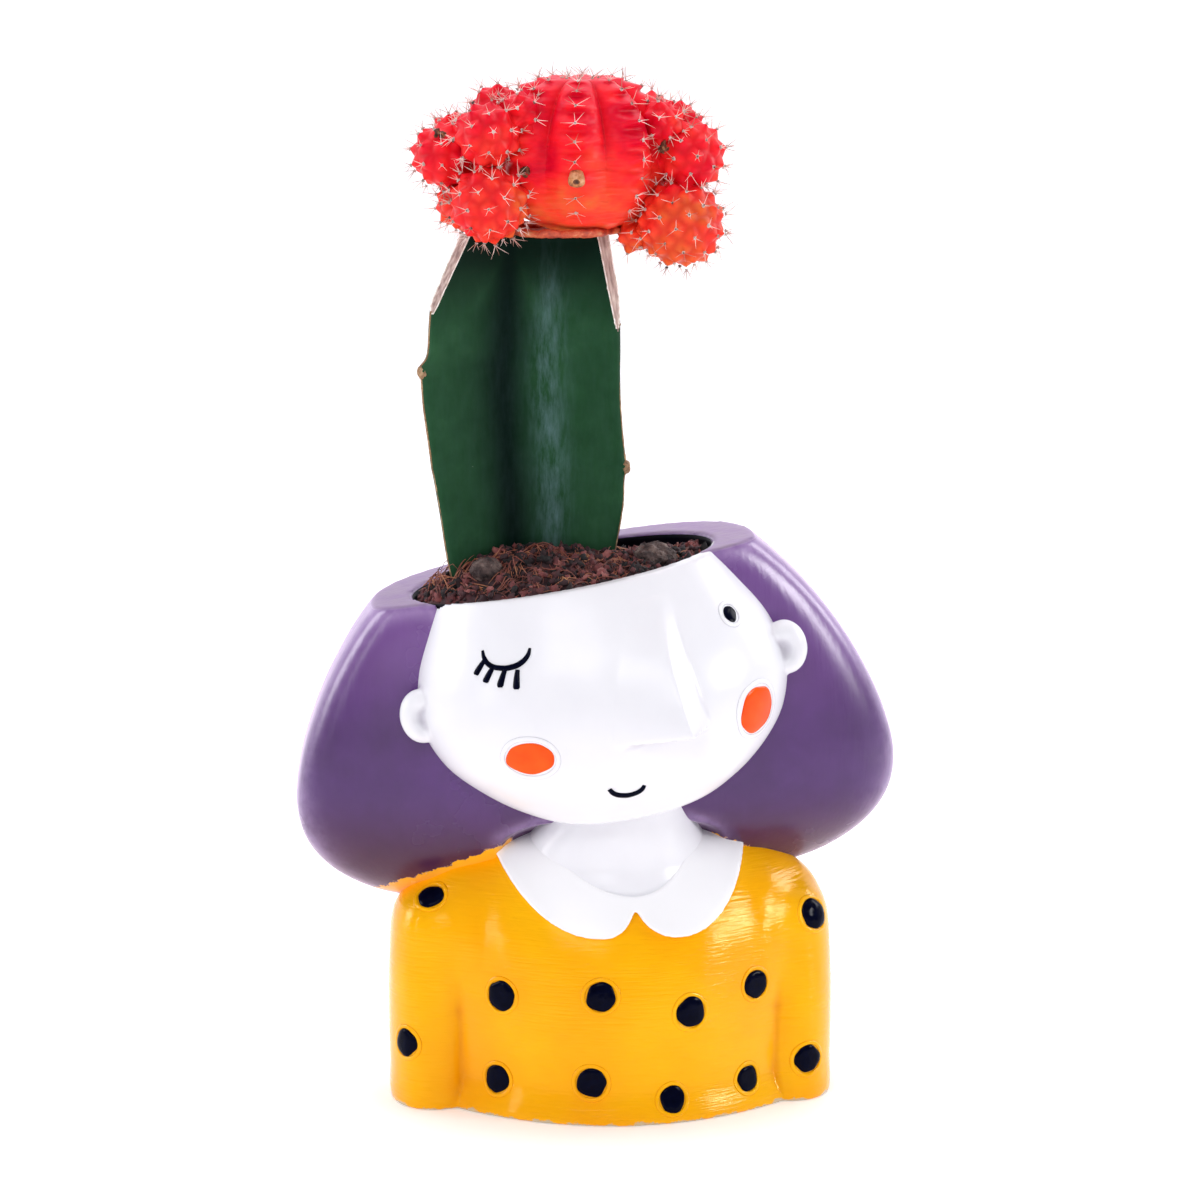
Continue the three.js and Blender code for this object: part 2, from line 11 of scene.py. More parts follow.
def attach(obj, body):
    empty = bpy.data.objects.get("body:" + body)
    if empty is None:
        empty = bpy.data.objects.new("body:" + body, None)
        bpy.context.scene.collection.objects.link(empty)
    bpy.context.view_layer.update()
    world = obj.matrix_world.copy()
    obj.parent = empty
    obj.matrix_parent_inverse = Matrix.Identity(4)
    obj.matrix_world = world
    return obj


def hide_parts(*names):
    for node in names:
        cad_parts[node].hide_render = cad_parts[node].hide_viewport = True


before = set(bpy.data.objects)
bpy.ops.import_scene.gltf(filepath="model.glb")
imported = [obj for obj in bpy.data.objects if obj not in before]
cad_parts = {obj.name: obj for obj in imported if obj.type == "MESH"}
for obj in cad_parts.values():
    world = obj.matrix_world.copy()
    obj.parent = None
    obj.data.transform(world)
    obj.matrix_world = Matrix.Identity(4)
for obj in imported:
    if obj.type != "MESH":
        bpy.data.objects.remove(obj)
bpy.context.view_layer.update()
bpy.ops.object.select_all(action="DESELECT")


# ---- The view, the floor and the light ----
# The plant is seen from a metre away through a long lens, five degrees from its right and eleven from
# above. It stands on a white floor. A strip lamp and a small box light it from the sides, one large box
# from above the camera and another from overhead, in a room that is bright only at the back. Three more
# boxes at the sides light nothing and only shine in the gloss, as polished cards would.

CAMERA_AT = (-0.08555, -0.97789, 0.29181)
LOOKS_AT = Vector((0, 0, 0.101))
LENS, FILM = 150, 36
# The plant stands ten pixels right of the middle in a picture of 1200.
SHIFT = -10 / 1200

bpy.ops.object.camera_add(location=CAMERA_AT)
camera = bpy.context.object
camera.data.lens = LENS
camera.data.sensor_width = FILM
camera.data.shift_x = SHIFT
camera.rotation_euler = (LOOKS_AT - camera.location).to_track_quat("-Z", "Y").to_euler()
bpy.context.scene.camera = camera
bpy.context.scene.view_settings.view_transform = "Standard"


def linear(code):
    """An sRGB hex colour as the linear values that a shader takes."""
    parts = [int(code[i:i + 2], 16) / 255 for i in (1, 3, 5)]
    return [c / 12.92 if c <= 0.04045 else ((c + 0.055) / 1.055) ** 2.4 for c in parts] + [1]


def add(tree, kind, inputs=None, stops=None, **fields):
    """Adds a node. Its fields are set, and each input is linked to a socket or given a value."""
    node = tree.nodes.new("ShaderNode" + kind)
    for field, value in fields.items():
        setattr(node, field, value)
    for name, value in (inputs or {}).items():
        if isinstance(value, bpy.types.NodeSocket):
            tree.links.new(value, node.inputs[name])
        else:
            node.inputs[name].default_value = value
    for i, (place, colour) in enumerate(stops or []):
        stop = node.color_ramp.elements[i] if i < 2 else node.color_ramp.elements.new(place)
        stop.position = place
        stop.color = linear(colour)
    return node


def new_material(name):
    """An empty material, the tree that it is drawn in, and the place on the piece in metres."""
    material = bpy.data.materials.new(name)
    material.use_nodes = True
    tree = material.node_tree
    tree.nodes.clear()
    return material, tree, add(tree, "TexCoord").outputs["Object"]


def finish_material(tree, inputs):
    """Puts the surface on the material's output."""
    surface = add(tree, "BsdfPrincipled", inputs)
    add(tree, "OutputMaterial", {"Surface": surface.outputs[0]})


# White board: matt, and so pale that the light blows it out.
white_board, tree, _ = new_material("white_board")
finish_material(tree, {
    "Base Color": linear("#FAF8F8"),
    "Roughness": 0.6,
    "Emission Color": linear("#FFFBFA"),
    "Emission Strength": 0.24,
})
FLOOR_SIZE, FLOOR_DROP = 14, 0.0001
bpy.ops.mesh.primitive_plane_add(size=FLOOR_SIZE, location=(0, 0, -FLOOR_DROP))
floor = bpy.context.object
floor.name = "floor"
floor.data.materials.append(white_board)

# How bright the room is in front of the plant and behind it, and between which ways the light rises.
ROOM_FRONT, ROOM_BACK = 0.36, 1.6
RISES_FROM, RISES_TO = -0.2, 0.5

world = bpy.data.worlds.new("studio")
bpy.context.scene.world = world
world.use_nodes = True
room = world.node_tree
way = add(room, "TexCoord").outputs["Generated"]
to_back = add(room, "SeparateXYZ", {"Vector": way}).outputs["Y"]
glow = add(room, "MapRange", {
    "Value": to_back, "From Min": RISES_FROM, "From Max": RISES_TO,
    "To Min": ROOM_FRONT, "To Max": ROOM_BACK,
}, interpolation_type="SMOOTHSTEP")
room.nodes["Background"].inputs["Color"].default_value = linear("#F8F8FF")
room.links.new(glow.outputs[0], room.nodes["Background"].inputs["Strength"])

LAMPS = [
    # place, aimed at, width, height, watts, and whether it lights surfaces or only shines in their gloss
    ((-0.86, -0.5, 0.3), (0, 0, 0.08), 0.03, 0.32, 0.7, True),
    ((0.87, -0.28, 0.44), (0, 0, 0.07), 0.13, 0.15, 1.5, True),
    ((0.8, -0.42, 0.36), (0, 0, 0.07), 0.24, 0.26, 5, False),
    ((-0.95, 0.12, 0.42), (0, 0, 0.09), 0.35, 0.5, 5, False),
    ((0.85, 0.25, 0.55), (0, 0, 0.09), 0.35, 0.5, 5, False),
    ((-0.3, -0.9, 0.8), (0, 0, 0.1), 0.5, 0.4, 3.5, True),
    ((0, 0.1, 1.05), (0, 0, 0.12), 0.7, 0.4, 4.2, True),
]
for place, aim, width, height, watts, lights in LAMPS:
    bpy.ops.object.light_add(type="AREA", location=place)
    lamp = bpy.context.object
    lamp.visible_diffuse = lights
    lamp.data.shape = "RECTANGLE"
    lamp.data.size = width
    lamp.data.size_y = height
    lamp.data.energy = watts
    lamp.rotation_euler = (Vector(aim) - Vector(place)).to_track_quat("-Z", "Y").to_euler()


# ---- The sweater ----
# The lower half of the bust: a chest and two arms that hang close beside it, cast in one with the head.
# The resin is brushed with thick glossy enamel, drawn deeper orange in the grooves, and chipped at the foot.

MM = 0.001
DEG = math.pi / 180
# Each ring of a form: half width, depth to the front and to the back, height, and the centre's y and x.
CHEST_RINGS = [
    (0, 0, 0, -7, 0, 1.2), (40.6, 26, 19.6, -3, 0, 1.2), (41, 26.8, 20.4, 7, 0, 1.2),
    (41.4, 27.2, 21.4, 17, 0, 1.2), (41.8, 26.6, 21.6, 27, 0, 1), (42.8, 24.6, 20.8, 35.5, 0, 0.6),
    (41.6, 21, 18.6, 42.6, 0.4, 0.6), (35.6, 17.4, 15.6, 48.2, 0.8, 0.6),
    (26.6, 13.6, 12, 52.6, 1.4, 0.8), (14, 8, 7, 55.2, 2, 1.2), (0, 0, 0, 56, 2, 1.4),
]
ARM_RINGS = [
    (0, 0, 0, -5, -1, 0), (8, 11.6, 12, -2, -1, 0), (8.8, 12.8, 12.6, 8, -0.6, 0), (9, 13, 13, 19, -0.2, 0),
    (8.8, 11.8, 12.6, 30, 0, 0), (7.4, 10.4, 10, 40, 0.4, 0), (0, 0, 0, 46.5, 0.8, 0),
]
ARM_AT = 36
# The groove between an arm and the chest: where it runs, its half width, the height at which it starts to
# fade, over how much, and how deep it is filled there. The chest is left alone out to CHEST_FLAT.
GROOVE_AT, GROOVE_HALF = 32, 6
GROOVE_TOP, GROOVE_FADE, GROOVE_FILL = 20, 8, 1.5
CHEST_FLAT = 23
# How square each plan is: powers of the cosine and of the sine, in front and behind.
CHEST_PLAN = ((1, 1.8), (0.8, 0.8))
ARM_PLAN = ((0.9, 0.9), (0.9, 0.9))


def cells(size):
    """The scale of a pattern, from the real size of one of its cells in millimetres."""
    return round(1 / (size * MM))


def mark(piece, name, values):
    """Writes one number for each vertex of a piece, for its material to read."""
    piece.data.attributes.new(name, "FLOAT", "POINT").data.foreach_set("value", values)


def select_only(*pieces):
    """Selects nothing but some pieces, the first of them active."""
    bpy.ops.object.select_all(action="DESELECT")
    for piece in pieces:
        piece.select_set(True)
    if pieces:
        bpy.context.view_layer.objects.active = pieces[0]


def ring_at(rings, rise):
    """The ring at a share of the way up, on a smooth curve through the table's rings."""
    along = rise * (len(rings) - 1)
    i = min(int(along), len(rings) - 2)
    s = along - i
    near = [rings[max(0, min(k, len(rings) - 1))] for k in (i - 1, i, i + 1, i + 2)]
    ring = []
    for a, b, c, d in zip(*near):
        bend = 2 * a - 5 * b + 4 * c - d + s * (3 * (b - c) + d - a)
        ring.append(b + 0.5 * s * (c - a + s * bend))
    return ring


def sphere_form(name, around, up, place):
    """A sphere whose every vertex is moved, by its turn about the middle and its rise from 0 to 1."""
    select_only()
    bpy.ops.mesh.primitive_uv_sphere_add(segments=around, ring_count=up, radius=1)
    form = bpy.context.object
    form.name = form.data.name = name
    for vertex in form.data.vertices:
        turn = math.atan2(vertex.co.y, vertex.co.x)
        rise = 1 - math.acos(max(-1, min(1, vertex.co.z))) / math.pi
        vertex.co = Vector(place(turn, rise)) * MM
    return form


def ring_form(name, rings, plan, at=(0, 0, 0), lean=0, grow=0, around=144, up=72):
    """A rounded form from its table of rings, grown all round, leaned and put in place."""
    turned = Matrix.Translation(at) @ Matrix.Rotation(lean, 4, "Y")

    def place(turn, rise):
        half, front, back, z, y, x = ring_at(rings, rise)
        c, s = math.cos(turn), math.sin(turn)
        across, deep = plan[0] if s < 0 else plan[1]
        wide = half + grow if half > grow else half
        depth = (front if s < 0 else back) + (grow if half > grow else 0)
        return turned @ Vector((
            x + wide * math.copysign(abs(c) ** across, c),
            y + depth * math.copysign(abs(s) ** deep, s),
            z,
        ))

    return sphere_form(name, around, up, place)


def apply(piece, kind, **settings):
    """Gives a piece one modifier and applies it."""
    modifier = piece.modifiers.new(kind.title(), kind)
    for name, value in settings.items():
        setattr(modifier, name, value)
    bpy.context.view_layer.objects.active = piece
    bpy.ops.object.modifier_apply(modifier=modifier.name)


def combine(body, tool, operation):
    """Joins a second solid to a body, or cuts the body with it."""
    apply(body, "BOOLEAN", operation=operation, object=tool, solver="MANIFOLD")
    bpy.data.objects.remove(tool)


def cut_flat(piece, at, facing):
    """Cuts a piece along a plane, takes off what lies before it, and closes the cut."""
    select_only(piece)
    bpy.ops.object.mode_set(mode="EDIT")
    bpy.ops.mesh.select_all(action="SELECT")
    bpy.ops.mesh.bisect(plane_co=at, plane_no=facing, use_fill=True, clear_outer=True)
    bpy.ops.object.mode_set(mode="OBJECT")


def soften(piece, grain, passes):
    """Casts a piece anew in one skin, with its edges and joins rounded as in a resin mould."""
    apply(piece, "REMESH", mode="VOXEL", voxel_size=grain * MM, use_smooth_shade=True)
    apply(piece, "SMOOTH", factor=0.5, iterations=passes)


def mark_hollows(piece, passes):
    """Writes how deep each vertex lies in a groove, in millimetres, on the attribute hollow."""
    mesh = piece.data
    count = len(mesh.vertices)
    co = np.empty(count * 3)
    mesh.vertices.foreach_get("co", co)
    co = co.reshape(-1, 3)
    normal = np.empty(count * 3)
    mesh.vertices.foreach_get("normal", normal)
    ends = np.empty(len(mesh.edges) * 2, int)
    mesh.edges.foreach_get("vertices", ends)
    a, b = ends.reshape(-1, 2).T
    meeting = np.maximum(np.bincount(a, minlength=count) + np.bincount(b, minlength=count), 1)
    eased = co.copy()
    for _ in range(passes):
        for k in range(3):
            near = np.bincount(a, eased[b, k], count) + np.bincount(b, eased[a, k], count)
            eased[:, k] = near / meeting
    depth = ((eased - co) * normal.reshape(-1, 3)).sum(1) / MM
    mark(piece, "hollow", depth.astype(np.float32))


def skin_of(piece):
    """The surface of a finished piece, for laying things on it."""
    mesh = piece.data
    return BVHTree.FromPolygons([v.co for v in mesh.vertices], [p.vertices for p in mesh.polygons])


def dress(piece, material, slot, *nodes):
    """Gives a piece its material, fixes it to the part and hides the solid it stands for. Its slot is not
    used.
    """
    piece.data.materials.clear()
    piece.data.materials.append(material)
    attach(piece, "root")
    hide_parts(*nodes)


sweater = ring_form("sweater", CHEST_RINGS, CHEST_PLAN)
for side in (-1, 1):
    arm = ring_form("arm", ARM_RINGS, ARM_PLAN, at=(side * ARM_AT, 0, 0), around=72, up=48)
    combine(sweater, arm, "UNION")
cut_flat(sweater, (0, 0, 0), (0, 0, -1))
soften(sweater, grain=0.5, passes=6)
# Higher up the groove between an arm and the chest fades out: it is filled in front, then smoothed.
shoulders = sweater.vertex_groups.new(name="shoulders")
for vertex in sweater.data.vertices:
    x, y, z = vertex.co / MM
    higher = min(1, max(0, (z - GROOVE_TOP) / GROOVE_FADE))
    share = higher * min(1, max(0, (abs(x) - CHEST_FLAT) / 4))
    if share > 0:
        shoulders.add([vertex.index], share, "REPLACE")
    if y < 0 and abs(abs(x) - GROOVE_AT) < GROOVE_HALF:
        filled = math.cos((abs(x) - GROOVE_AT) / (2 * GROOVE_HALF) * math.pi) ** 2
        vertex.co.y -= GROOVE_FILL * share * filled * MM
apply(sweater, "SMOOTH", factor=0.5, iterations=110, vertex_group="shoulders")
mark_hollows(sweater, passes=22)

# Enamel, brushed on thick: glossy, with fine strokes that break its highlights, deeper orange in the
# grooves.
# The brush leaves lines 0.4 mm apart and 6 mm long, and flakes of 4 mm have come off at the foot.
yellow_enamel, tree, place = new_material("yellow_enamel")
spread = add(tree, "TexNoise", {"Vector": place, "Scale": cells(22.2), "Detail": 3}).outputs["Fac"]
tint = add(tree, "ValToRGB", {"Fac": spread}, [(0.35, "#FCAA03"), (0.68, "#FFBA07")])
hollow = add(tree, "Attribute", attribute_name="hollow").outputs["Fac"]
# Deeper orange where the surface lies in a groove, and at the foot of the dots' rings.
grooved_deeper = add(tree, "MapRange", {"Value": hollow, "From Min": 0.06, "From Max": 0.42, "To Max": 0.85})
coat = add(tree, "Mix", {
    0: grooved_deeper.outputs[0], 6: tint.outputs[0], 7: linear("#EE9606"),
}, data_type="RGBA")
height = add(tree, "SeparateXYZ", {"Vector": place}).outputs["Z"]
flake = add(tree, "TexNoise", {
    "Vector": place, "Scale": cells(3.85), "Detail": 5, "Roughness": 0.7,
}).outputs["Fac"]
lifted = add(tree, "Math", {0: flake, 1: 4.2 * MM}, operation="MULTIPLY")
foot = add(tree, "Math", {0: height, 1: lifted.outputs[0]}, operation="SUBTRACT")
chipped = add(tree, "MapRange", {
    "Value": foot.outputs[0], "From Min": -1.6 * MM, "From Max": -1.9 * MM, "To Max": 0.9,
})
worn = add(tree, "Mix", {
    0: chipped.outputs[0], 6: coat.outputs[2], 7: linear("#C9BFA6"),
}, data_type="RGBA")
swept = add(tree, "Mapping", {
    "Vector": place, "Rotation": (0, 35 * DEG, 0), "Scale": (cells(6.25), cells(6.25), cells(0.4167)),
})
strokes = add(tree, "TexNoise", {"Vector": swept.outputs[0], "Scale": 1, "Detail": 3}).outputs["Fac"]
waves = add(tree, "TexNoise", {"Vector": place, "Scale": cells(8.33), "Detail": 1}).outputs["Fac"]
brushed = add(tree, "Bump", {"Height": strokes, "Strength": 0.9, "Distance": 0.14 * MM})
uneven = add(tree, "Bump", {
    "Height": waves, "Strength": 0.5, "Distance": 0.3 * MM, "Normal": brushed.outputs[0],
})
finish_material(tree, {
    "Base Color": worn.outputs[2],
    "Roughness": 0.1,
    "IOR": 1.38,
    "Specular Tint": linear("#FFE2A8"),
    "Normal": uneven.outputs[0],
})
dress(sweater, yellow_enamel, "sweater_paint", "bust_pot")


# ---- The dots on the sweater ----
# Each dot is a thick dab of blue-black enamel inside a low raised ring that the mould left for it.
# The ring is painted with the sweater.

DOT_HALF = 2.8
DOT_PROUD = 0.6
# The ring: how far out from the dot it runs, its half width and how proud it is.
RING_OUT, RING_WIDTH, RING_PROUD = 0.5, 0.45, 0.3
# Across from the middle, height, and size.
FRONT_DOTS = [
    (-36.6, 42.5, 0.98), (-42, 13.4, 1), (-23.3, 24.8, 1.08), (-4.1, 26.2, 1.06), (13.9, 22.2, 1.1),
    (27.7, 25.5, 1), (40.6, 37.8, 1.1), (-24.1, 7.4, 1), (-6, 8.6, 1.08), (10.2, 4.8, 0.96),
    (26, 6.4, 0.94), (39, 8.6, 1.02),
]
BACK_DOTS = [
    (-39, 11, 1), (-20, 8, 1.05), (0, 7.4, 1), (20, 8, 1.04), (39, 11, 1), (-29, 27, 1.06),
    (-9.6, 25.4, 1), (9.6, 25.4, 1.08), (29, 27, 1),
]


# Rays that feel for a surface start this far in front of the part, or this far off the surface.
FAR_OFF, NEAR_OFF = 0.2, 0.012


def spot_on(skin, x, z, back=False):
    """Where a line that runs front to back meets a surface, and which way the surface faces there."""
    start = Vector((x * MM, FAR_OFF if back else -FAR_OFF, z * MM))
    point, normal, _, _ = skin.ray_cast(start, Vector((0, -1 if back else 1, 0)))
    return point, normal


def lay_on(piece, skin, spot, facing, across):
    """Lays a flat piece on a surface: its x and y run over it from the spot, and z stands off it."""
    facing = facing.normalized()
    across = (across - facing * across.dot(facing)).normalized()
    up = facing.cross(across)
    for vertex in piece.data.vertices:
        start = spot + across * vertex.co.x + up * vertex.co.y + facing * NEAR_OFF
        point, normal, _, _ = skin.ray_cast(start, -facing)
        if point is None:
            point, normal, _, _ = skin.find_nearest(start - facing * NEAR_OFF)
        vertex.co = point + normal * vertex.co.z


def dab(name, half, tall, proud, edge, seed, around=40):
    """A flat dab of paint with a rounded, slightly uneven edge, its back a little below z = 0."""
    select_only()
    bpy.ops.mesh.primitive_uv_sphere_add(segments=around, ring_count=12, radius=1)
    piece = bpy.context.object
    piece.name = piece.data.name = name
    for vertex in piece.data.vertices:
        turn = math.atan2(vertex.co.y, vertex.co.x)
        sway = noise.noise(Vector((math.cos(turn) * 1.3, math.sin(turn) * 1.3, seed * 7.7)))
        wide = (1 + edge * sway) * math.hypot(vertex.co.x, vertex.co.y) ** 0.6
        thick = math.copysign(abs(vertex.co.z) ** 0.8, vertex.co.z)
        vertex.co = (
            wide * half * math.cos(turn) * MM,
            wide * tall * math.sin(turn) * MM,
            (thick * proud if thick > 0 else thick * 0.25) * MM,
        )
    return piece


def lip(name, half, tall, width, proud, seed):
    """A low raised ring, its back a little below z = 0."""
    tube = 0.1
    select_only()
    bpy.ops.mesh.primitive_torus_add(
        major_radius=1, minor_radius=tube, major_segments=56, minor_segments=10,
    )
    piece = bpy.context.object
    piece.name = piece.data.name = name
    for vertex in piece.data.vertices:
        turn = math.atan2(vertex.co.y, vertex.co.x)
        out = (math.hypot(vertex.co.x, vertex.co.y) - 1) / tube
        sway = 1 + 0.05 * noise.noise(Vector((math.cos(turn), math.sin(turn), seed * 3.1)))
        swell = 0.75 + 0.5 * noise.noise(Vector((math.cos(turn) * 2, math.sin(turn) * 2, seed * 5.3)))
        vertex.co = (
            (half * sway + out * width) * math.cos(turn) * MM,
            (tall * sway + out * width) * math.sin(turn) * MM,
            (vertex.co.z / tube * proud * max(0.3, swell) + 0.02) * MM,
        )
    # Its foot counts as a hollow: white resin is painted greyer there as painted shade, and the sweater's
    # enamel deeper orange.
    mark(piece, "hollow", [max(0, 0.5 - vertex.co.z / MM / proud) for vertex in piece.data.vertices])
    return piece


def joined(name, parts):
    """Makes several objects one piece."""
    select_only(*parts)
    bpy.ops.object.join()
    parts[0].name = parts[0].data.name = name
    bpy.ops.object.shade_smooth()
    return parts[0]


sweater_skin = skin_of(sweater)
dots, rings = [], []
for number, (x, z, size) in enumerate(FRONT_DOTS + BACK_DOTS):
    back = number >= len(FRONT_DOTS)
    spot, facing = spot_on(sweater_skin, x, z, back)
    across = Vector((-1 if back else 1, 0, 0))
    dot = dab("dot", DOT_HALF * size, DOT_HALF * size, DOT_PROUD, 0.13, number + 1)
    lay_on(dot, sweater_skin, spot, facing, across)
    ring_half = DOT_HALF * size + RING_OUT
    ring = lip("ring", ring_half, ring_half, RING_WIDTH, RING_PROUD, number + 1)
    lay_on(ring, sweater_skin, spot, facing, across)
    dots.append(dot)
    rings.append(ring)
sweater_dots = joined("sweater_dots", dots)
dot_rings = joined("dot_rings", rings)

# Enamel again, blue-black and so thick that it domes: very glossy, with dimples 1.4 mm apart.
black_enamel, tree, place = new_material("black_enamel")
dimples = add(tree, "TexNoise", {"Vector": place, "Scale": cells(1.429), "Detail": 2}).outputs["Fac"]
tint = add(tree, "ValToRGB", {"Fac": dimples}, [(0.3, "#020314"), (0.7, "#04071E")])
puckered = add(tree, "Bump", {"Height": dimples, "Strength": 0.5, "Distance": 0.16 * MM})
finish_material(tree, {
    "Base Color": tint.outputs[0],
    "Roughness": 0.1,
    "IOR": 1.12,
    "Normal": puckered.outputs[0],
})
dress(sweater_dots, black_enamel, "dark_paint", "bust_pot")
dress(dot_rings, yellow_enamel, "sweater_paint", "bust_pot")


# ---- The neck and the collar ----
# A white collar with two round lobes lies on the sweater, and the bare neck rises out of it. Both are
# part of the casting. A fine slit parts the lobes, and a soft step marks the neckline.

COLLAR_PROUD = 1.15
SKIN_PROUD = 0.55
# Outlines seen from the front, each curve with its ends and its two handles.
COLLAR_CURVES = [
    ((-27, 60), (-23.5, 47), (-15, 37.4), (-4, 37.4)),
    ((-4, 37.4), (0, 37.4), (1.8, 39.6), (3, 42.4)),
    ((3.4, 42.4), (4.8, 39.4), (8, 37.2), (12.2, 37.2)),
    ((12.2, 37.2), (21, 37.2), (26.5, 46), (28.4, 60)),
]
NECKLINE_CURVES = [
    ((-16, 62), (-14.6, 54), (-7.4, 45.4), (2.8, 44.9)),
    ((3.6, 44.9), (10, 45.2), (15.6, 50.4), (18, 62)),
]
SKIN_CURVES = [
    ((-22, 64), (-20, 52), (-12, 42.6), (2.8, 42.2)),
    ((3.6, 42.2), (14, 42.6), (21, 50), (23, 64)),
]
NECK_RINGS = [
    (0, 0, 0, 43, -3, 1.6), (17.5, 15.8, 14, 44.5, -2.8, 1.2), (18.8, 15.2, 14, 50, -3, 0.8),
    (18, 14.6, 13.8, 53.5, -3, 0.8), (15.6, 14, 13.6, 57.5, -3, 1.2), (13.4, 13.4, 13.2, 62, -3, 1.6),
    (13, 13, 13, 68, -3, 1.6), (12.6, 12.6, 12.6, 71, -3, 1.6), (0, 0, 0, 72, -3, 1.6),
]
ROUND = ((1, 1), (1, 1))


def curve_weights(t):
    """How much each of a curve's four knots counts at a share of the way along it."""
    return (1 - t) ** 3, 3 * t * (1 - t) ** 2, 3 * t * t * (1 - t), t ** 3


def cutter(name, curves, front, back):
    """A block with the outline of some curves, seen from the front."""
    outline = []
    for curve in curves:
        for step in range(14):
            weights = curve_weights(step / 13)
            point = [sum(w * k[i] for w, k in zip(weights, curve)) for i in (0, 1)]
            if not outline or math.dist(point, outline[-1]) > 0.05:
                outline.append(point)
    select_only()
    bpy.ops.mesh.primitive_circle_add(vertices=len(outline), radius=1, fill_type="NGON")
    block = bpy.context.object
    block.name = block.data.name = name
    for vertex, (x, z) in zip(block.data.vertices, outline):
        vertex.co = (x * MM, front * MM, z * MM)
    bpy.ops.object.mode_set(mode="EDIT")
    bpy.ops.mesh.select_all(action="SELECT")
    bpy.ops.mesh.extrude_region_move(TRANSFORM_OT_translate={"value": (0, (back - front) * MM, 0)})
    bpy.ops.mesh.select_all(action="SELECT")
    bpy.ops.mesh.normals_make_consistent(inside=False)
    bpy.ops.object.mode_set(mode="OBJECT")
    return block


collar = ring_form("collar", CHEST_RINGS, CHEST_PLAN, at=(0, 0, 0.7), grow=COLLAR_PROUD)
combine(collar, cutter("lobes", COLLAR_CURVES, front=-60, back=3), "INTERSECT")
combine(collar, cutter("neckline", NECKLINE_CURVES, front=-61, back=4), "DIFFERENCE")
soften(collar, grain=0.34, passes=8)
# The collar is painted whiter than the rest, as painted light that lifts the shade on it.
mark(collar, "whitened", [1.0] * len(collar.data.vertices))

neck = ring_form("neck", CHEST_RINGS, CHEST_PLAN, at=(0, 0, 0.3), grow=SKIN_PROUD)
combine(neck, cutter("skin", SKIN_CURVES, front=-60, back=3), "INTERSECT")
combine(neck, ring_form("throat", NECK_RINGS, ROUND, around=64, up=40), "UNION")
soften(neck, grain=0.4, passes=14)

# Cast polyresin, sprayed white and varnished: smooth and glossy, with faint waves and a few specks of
# dirt. It is painted greyer in its hollows as painted shade, and whiter on the collar as painted light.
white_resin, tree, place = new_material("white_resin")
tone = add(tree, "TexNoise", {"Vector": place, "Scale": cells(16.7), "Detail": 3}).outputs["Fac"]
tint = add(tree, "ValToRGB", {"Fac": tone}, [(0.3, "#E8E8ED"), (0.7, "#EDEDF1")])
hollow = add(tree, "Attribute", attribute_name="hollow").outputs["Fac"]
# The hollows and the foot of each raised ring are painted greyer, as painted shade.
painted_shade = add(tree, "MapRange", {"Value": hollow, "From Min": 0.05, "From Max": 0.4, "To Max": 0.6}).outputs[0]
# The collar is painted whiter, as painted light.
painted_lift = add(tree, "Attribute", attribute_name="whitened").outputs["Fac"]
white = add(tree, "Mix", {0: painted_lift, 6: tint.outputs[0], 7: linear("#F9F9FB")}, data_type="RGBA")
shaded = add(tree, "Mix", {0: painted_shade, 6: white.outputs[2], 7: linear("#B6B1BE")}, data_type="RGBA")
grit = add(tree, "TexVoronoi", {"Vector": place, "Scale": cells(5.88)}, feature="F1").outputs["Distance"]
patch = add(tree, "TexNoise", {"Vector": place, "Scale": cells(7.69), "Detail": 2}).outputs["Fac"]
near = add(tree, "MapRange", {"Value": grit, "From Min": 0.055, "From Max": 0.035}).outputs[0]
rare = add(tree, "MapRange", {"Value": patch, "From Min": 0.66, "From Max": 0.69}).outputs[0]
speck = add(tree, "Math", {0: near, 1: rare}, operation="MULTIPLY")
dirty = add(tree, "Mix", {
    0: speck.outputs[0], 6: shaded.outputs[2], 7: linear("#8C8590"),
}, data_type="RGBA")
waves = add(tree, "TexNoise", {"Vector": place, "Scale": cells(6.67), "Detail": 2}).outputs["Fac"]
uneven = add(tree, "Bump", {"Height": waves, "Strength": 0.3, "Distance": 0.22 * MM})
finish_material(tree, {
    "Base Color": dirty.outputs[2],
    "Roughness": 0.22,
    "IOR": 1.32,
    "Normal": uneven.outputs[0],
})
dress(collar, white_resin, "painted_resin", "bust_pot")
dress(neck, white_resin, "painted_resin", "bust_pot")


# ---- The face, the nose and the ears ----
# The head leans ten degrees to its right. The nose is a blade whose ridge runs in one sweep from the
# brow, and each ear is a small disc with a thumb-pressed hollow. The top is open.

HEAD_AT = Vector((-2, 0, 85.5))
HEAD_LEAN = -10 * DEG
RIM_RISE = 23
FACE_RINGS = [
    (0, 0, 0, -25.5, -15, 1), (13.4, 9.4, 9, -24.4, -14, 1.1), (22.1, 16.2, 16, -21.1, -11, 1.2),
    (29.4, 22.4, 20, -15.8, -8.6, 1), (34.6, 25.3, 22, -9.4, -7.8, 0.4), (37, 26.2, 22, -1, -7.4, -0.2),
    (35.6, 25, 22, 8, -6.2, -0.7), (32, 22.6, 22, 16.5, -4.2, -1.3), (28.6, 20.6, 22, 24, -1.8, -1.8),
    (24, 17, 18, 31, 0, -2.6), (0, 0, 0, 35, 1, -2.6),
]
CAVITY_RINGS = [
    (0, 0, 0, -17, 2.4, 0), (20, 14.4, 14.4, -17, 2.4, 0), (24, 17.6, 17.6, -13, 2.4, -0.4),
    (27.6, 20.4, 20.4, 5, 2.4, -2), (30.7, 22.6, 22.6, 23, 2.4, -3.6), (31.4, 23, 23, 31, 2.4, -4.2),
    (0, 0, 0, 33, 2.4, -4.2),
]
EAR = {"u": 36.7, "y": -12, "v": 1.5, "half": 4.4, "depth": 3.6, "tall": 5.5}
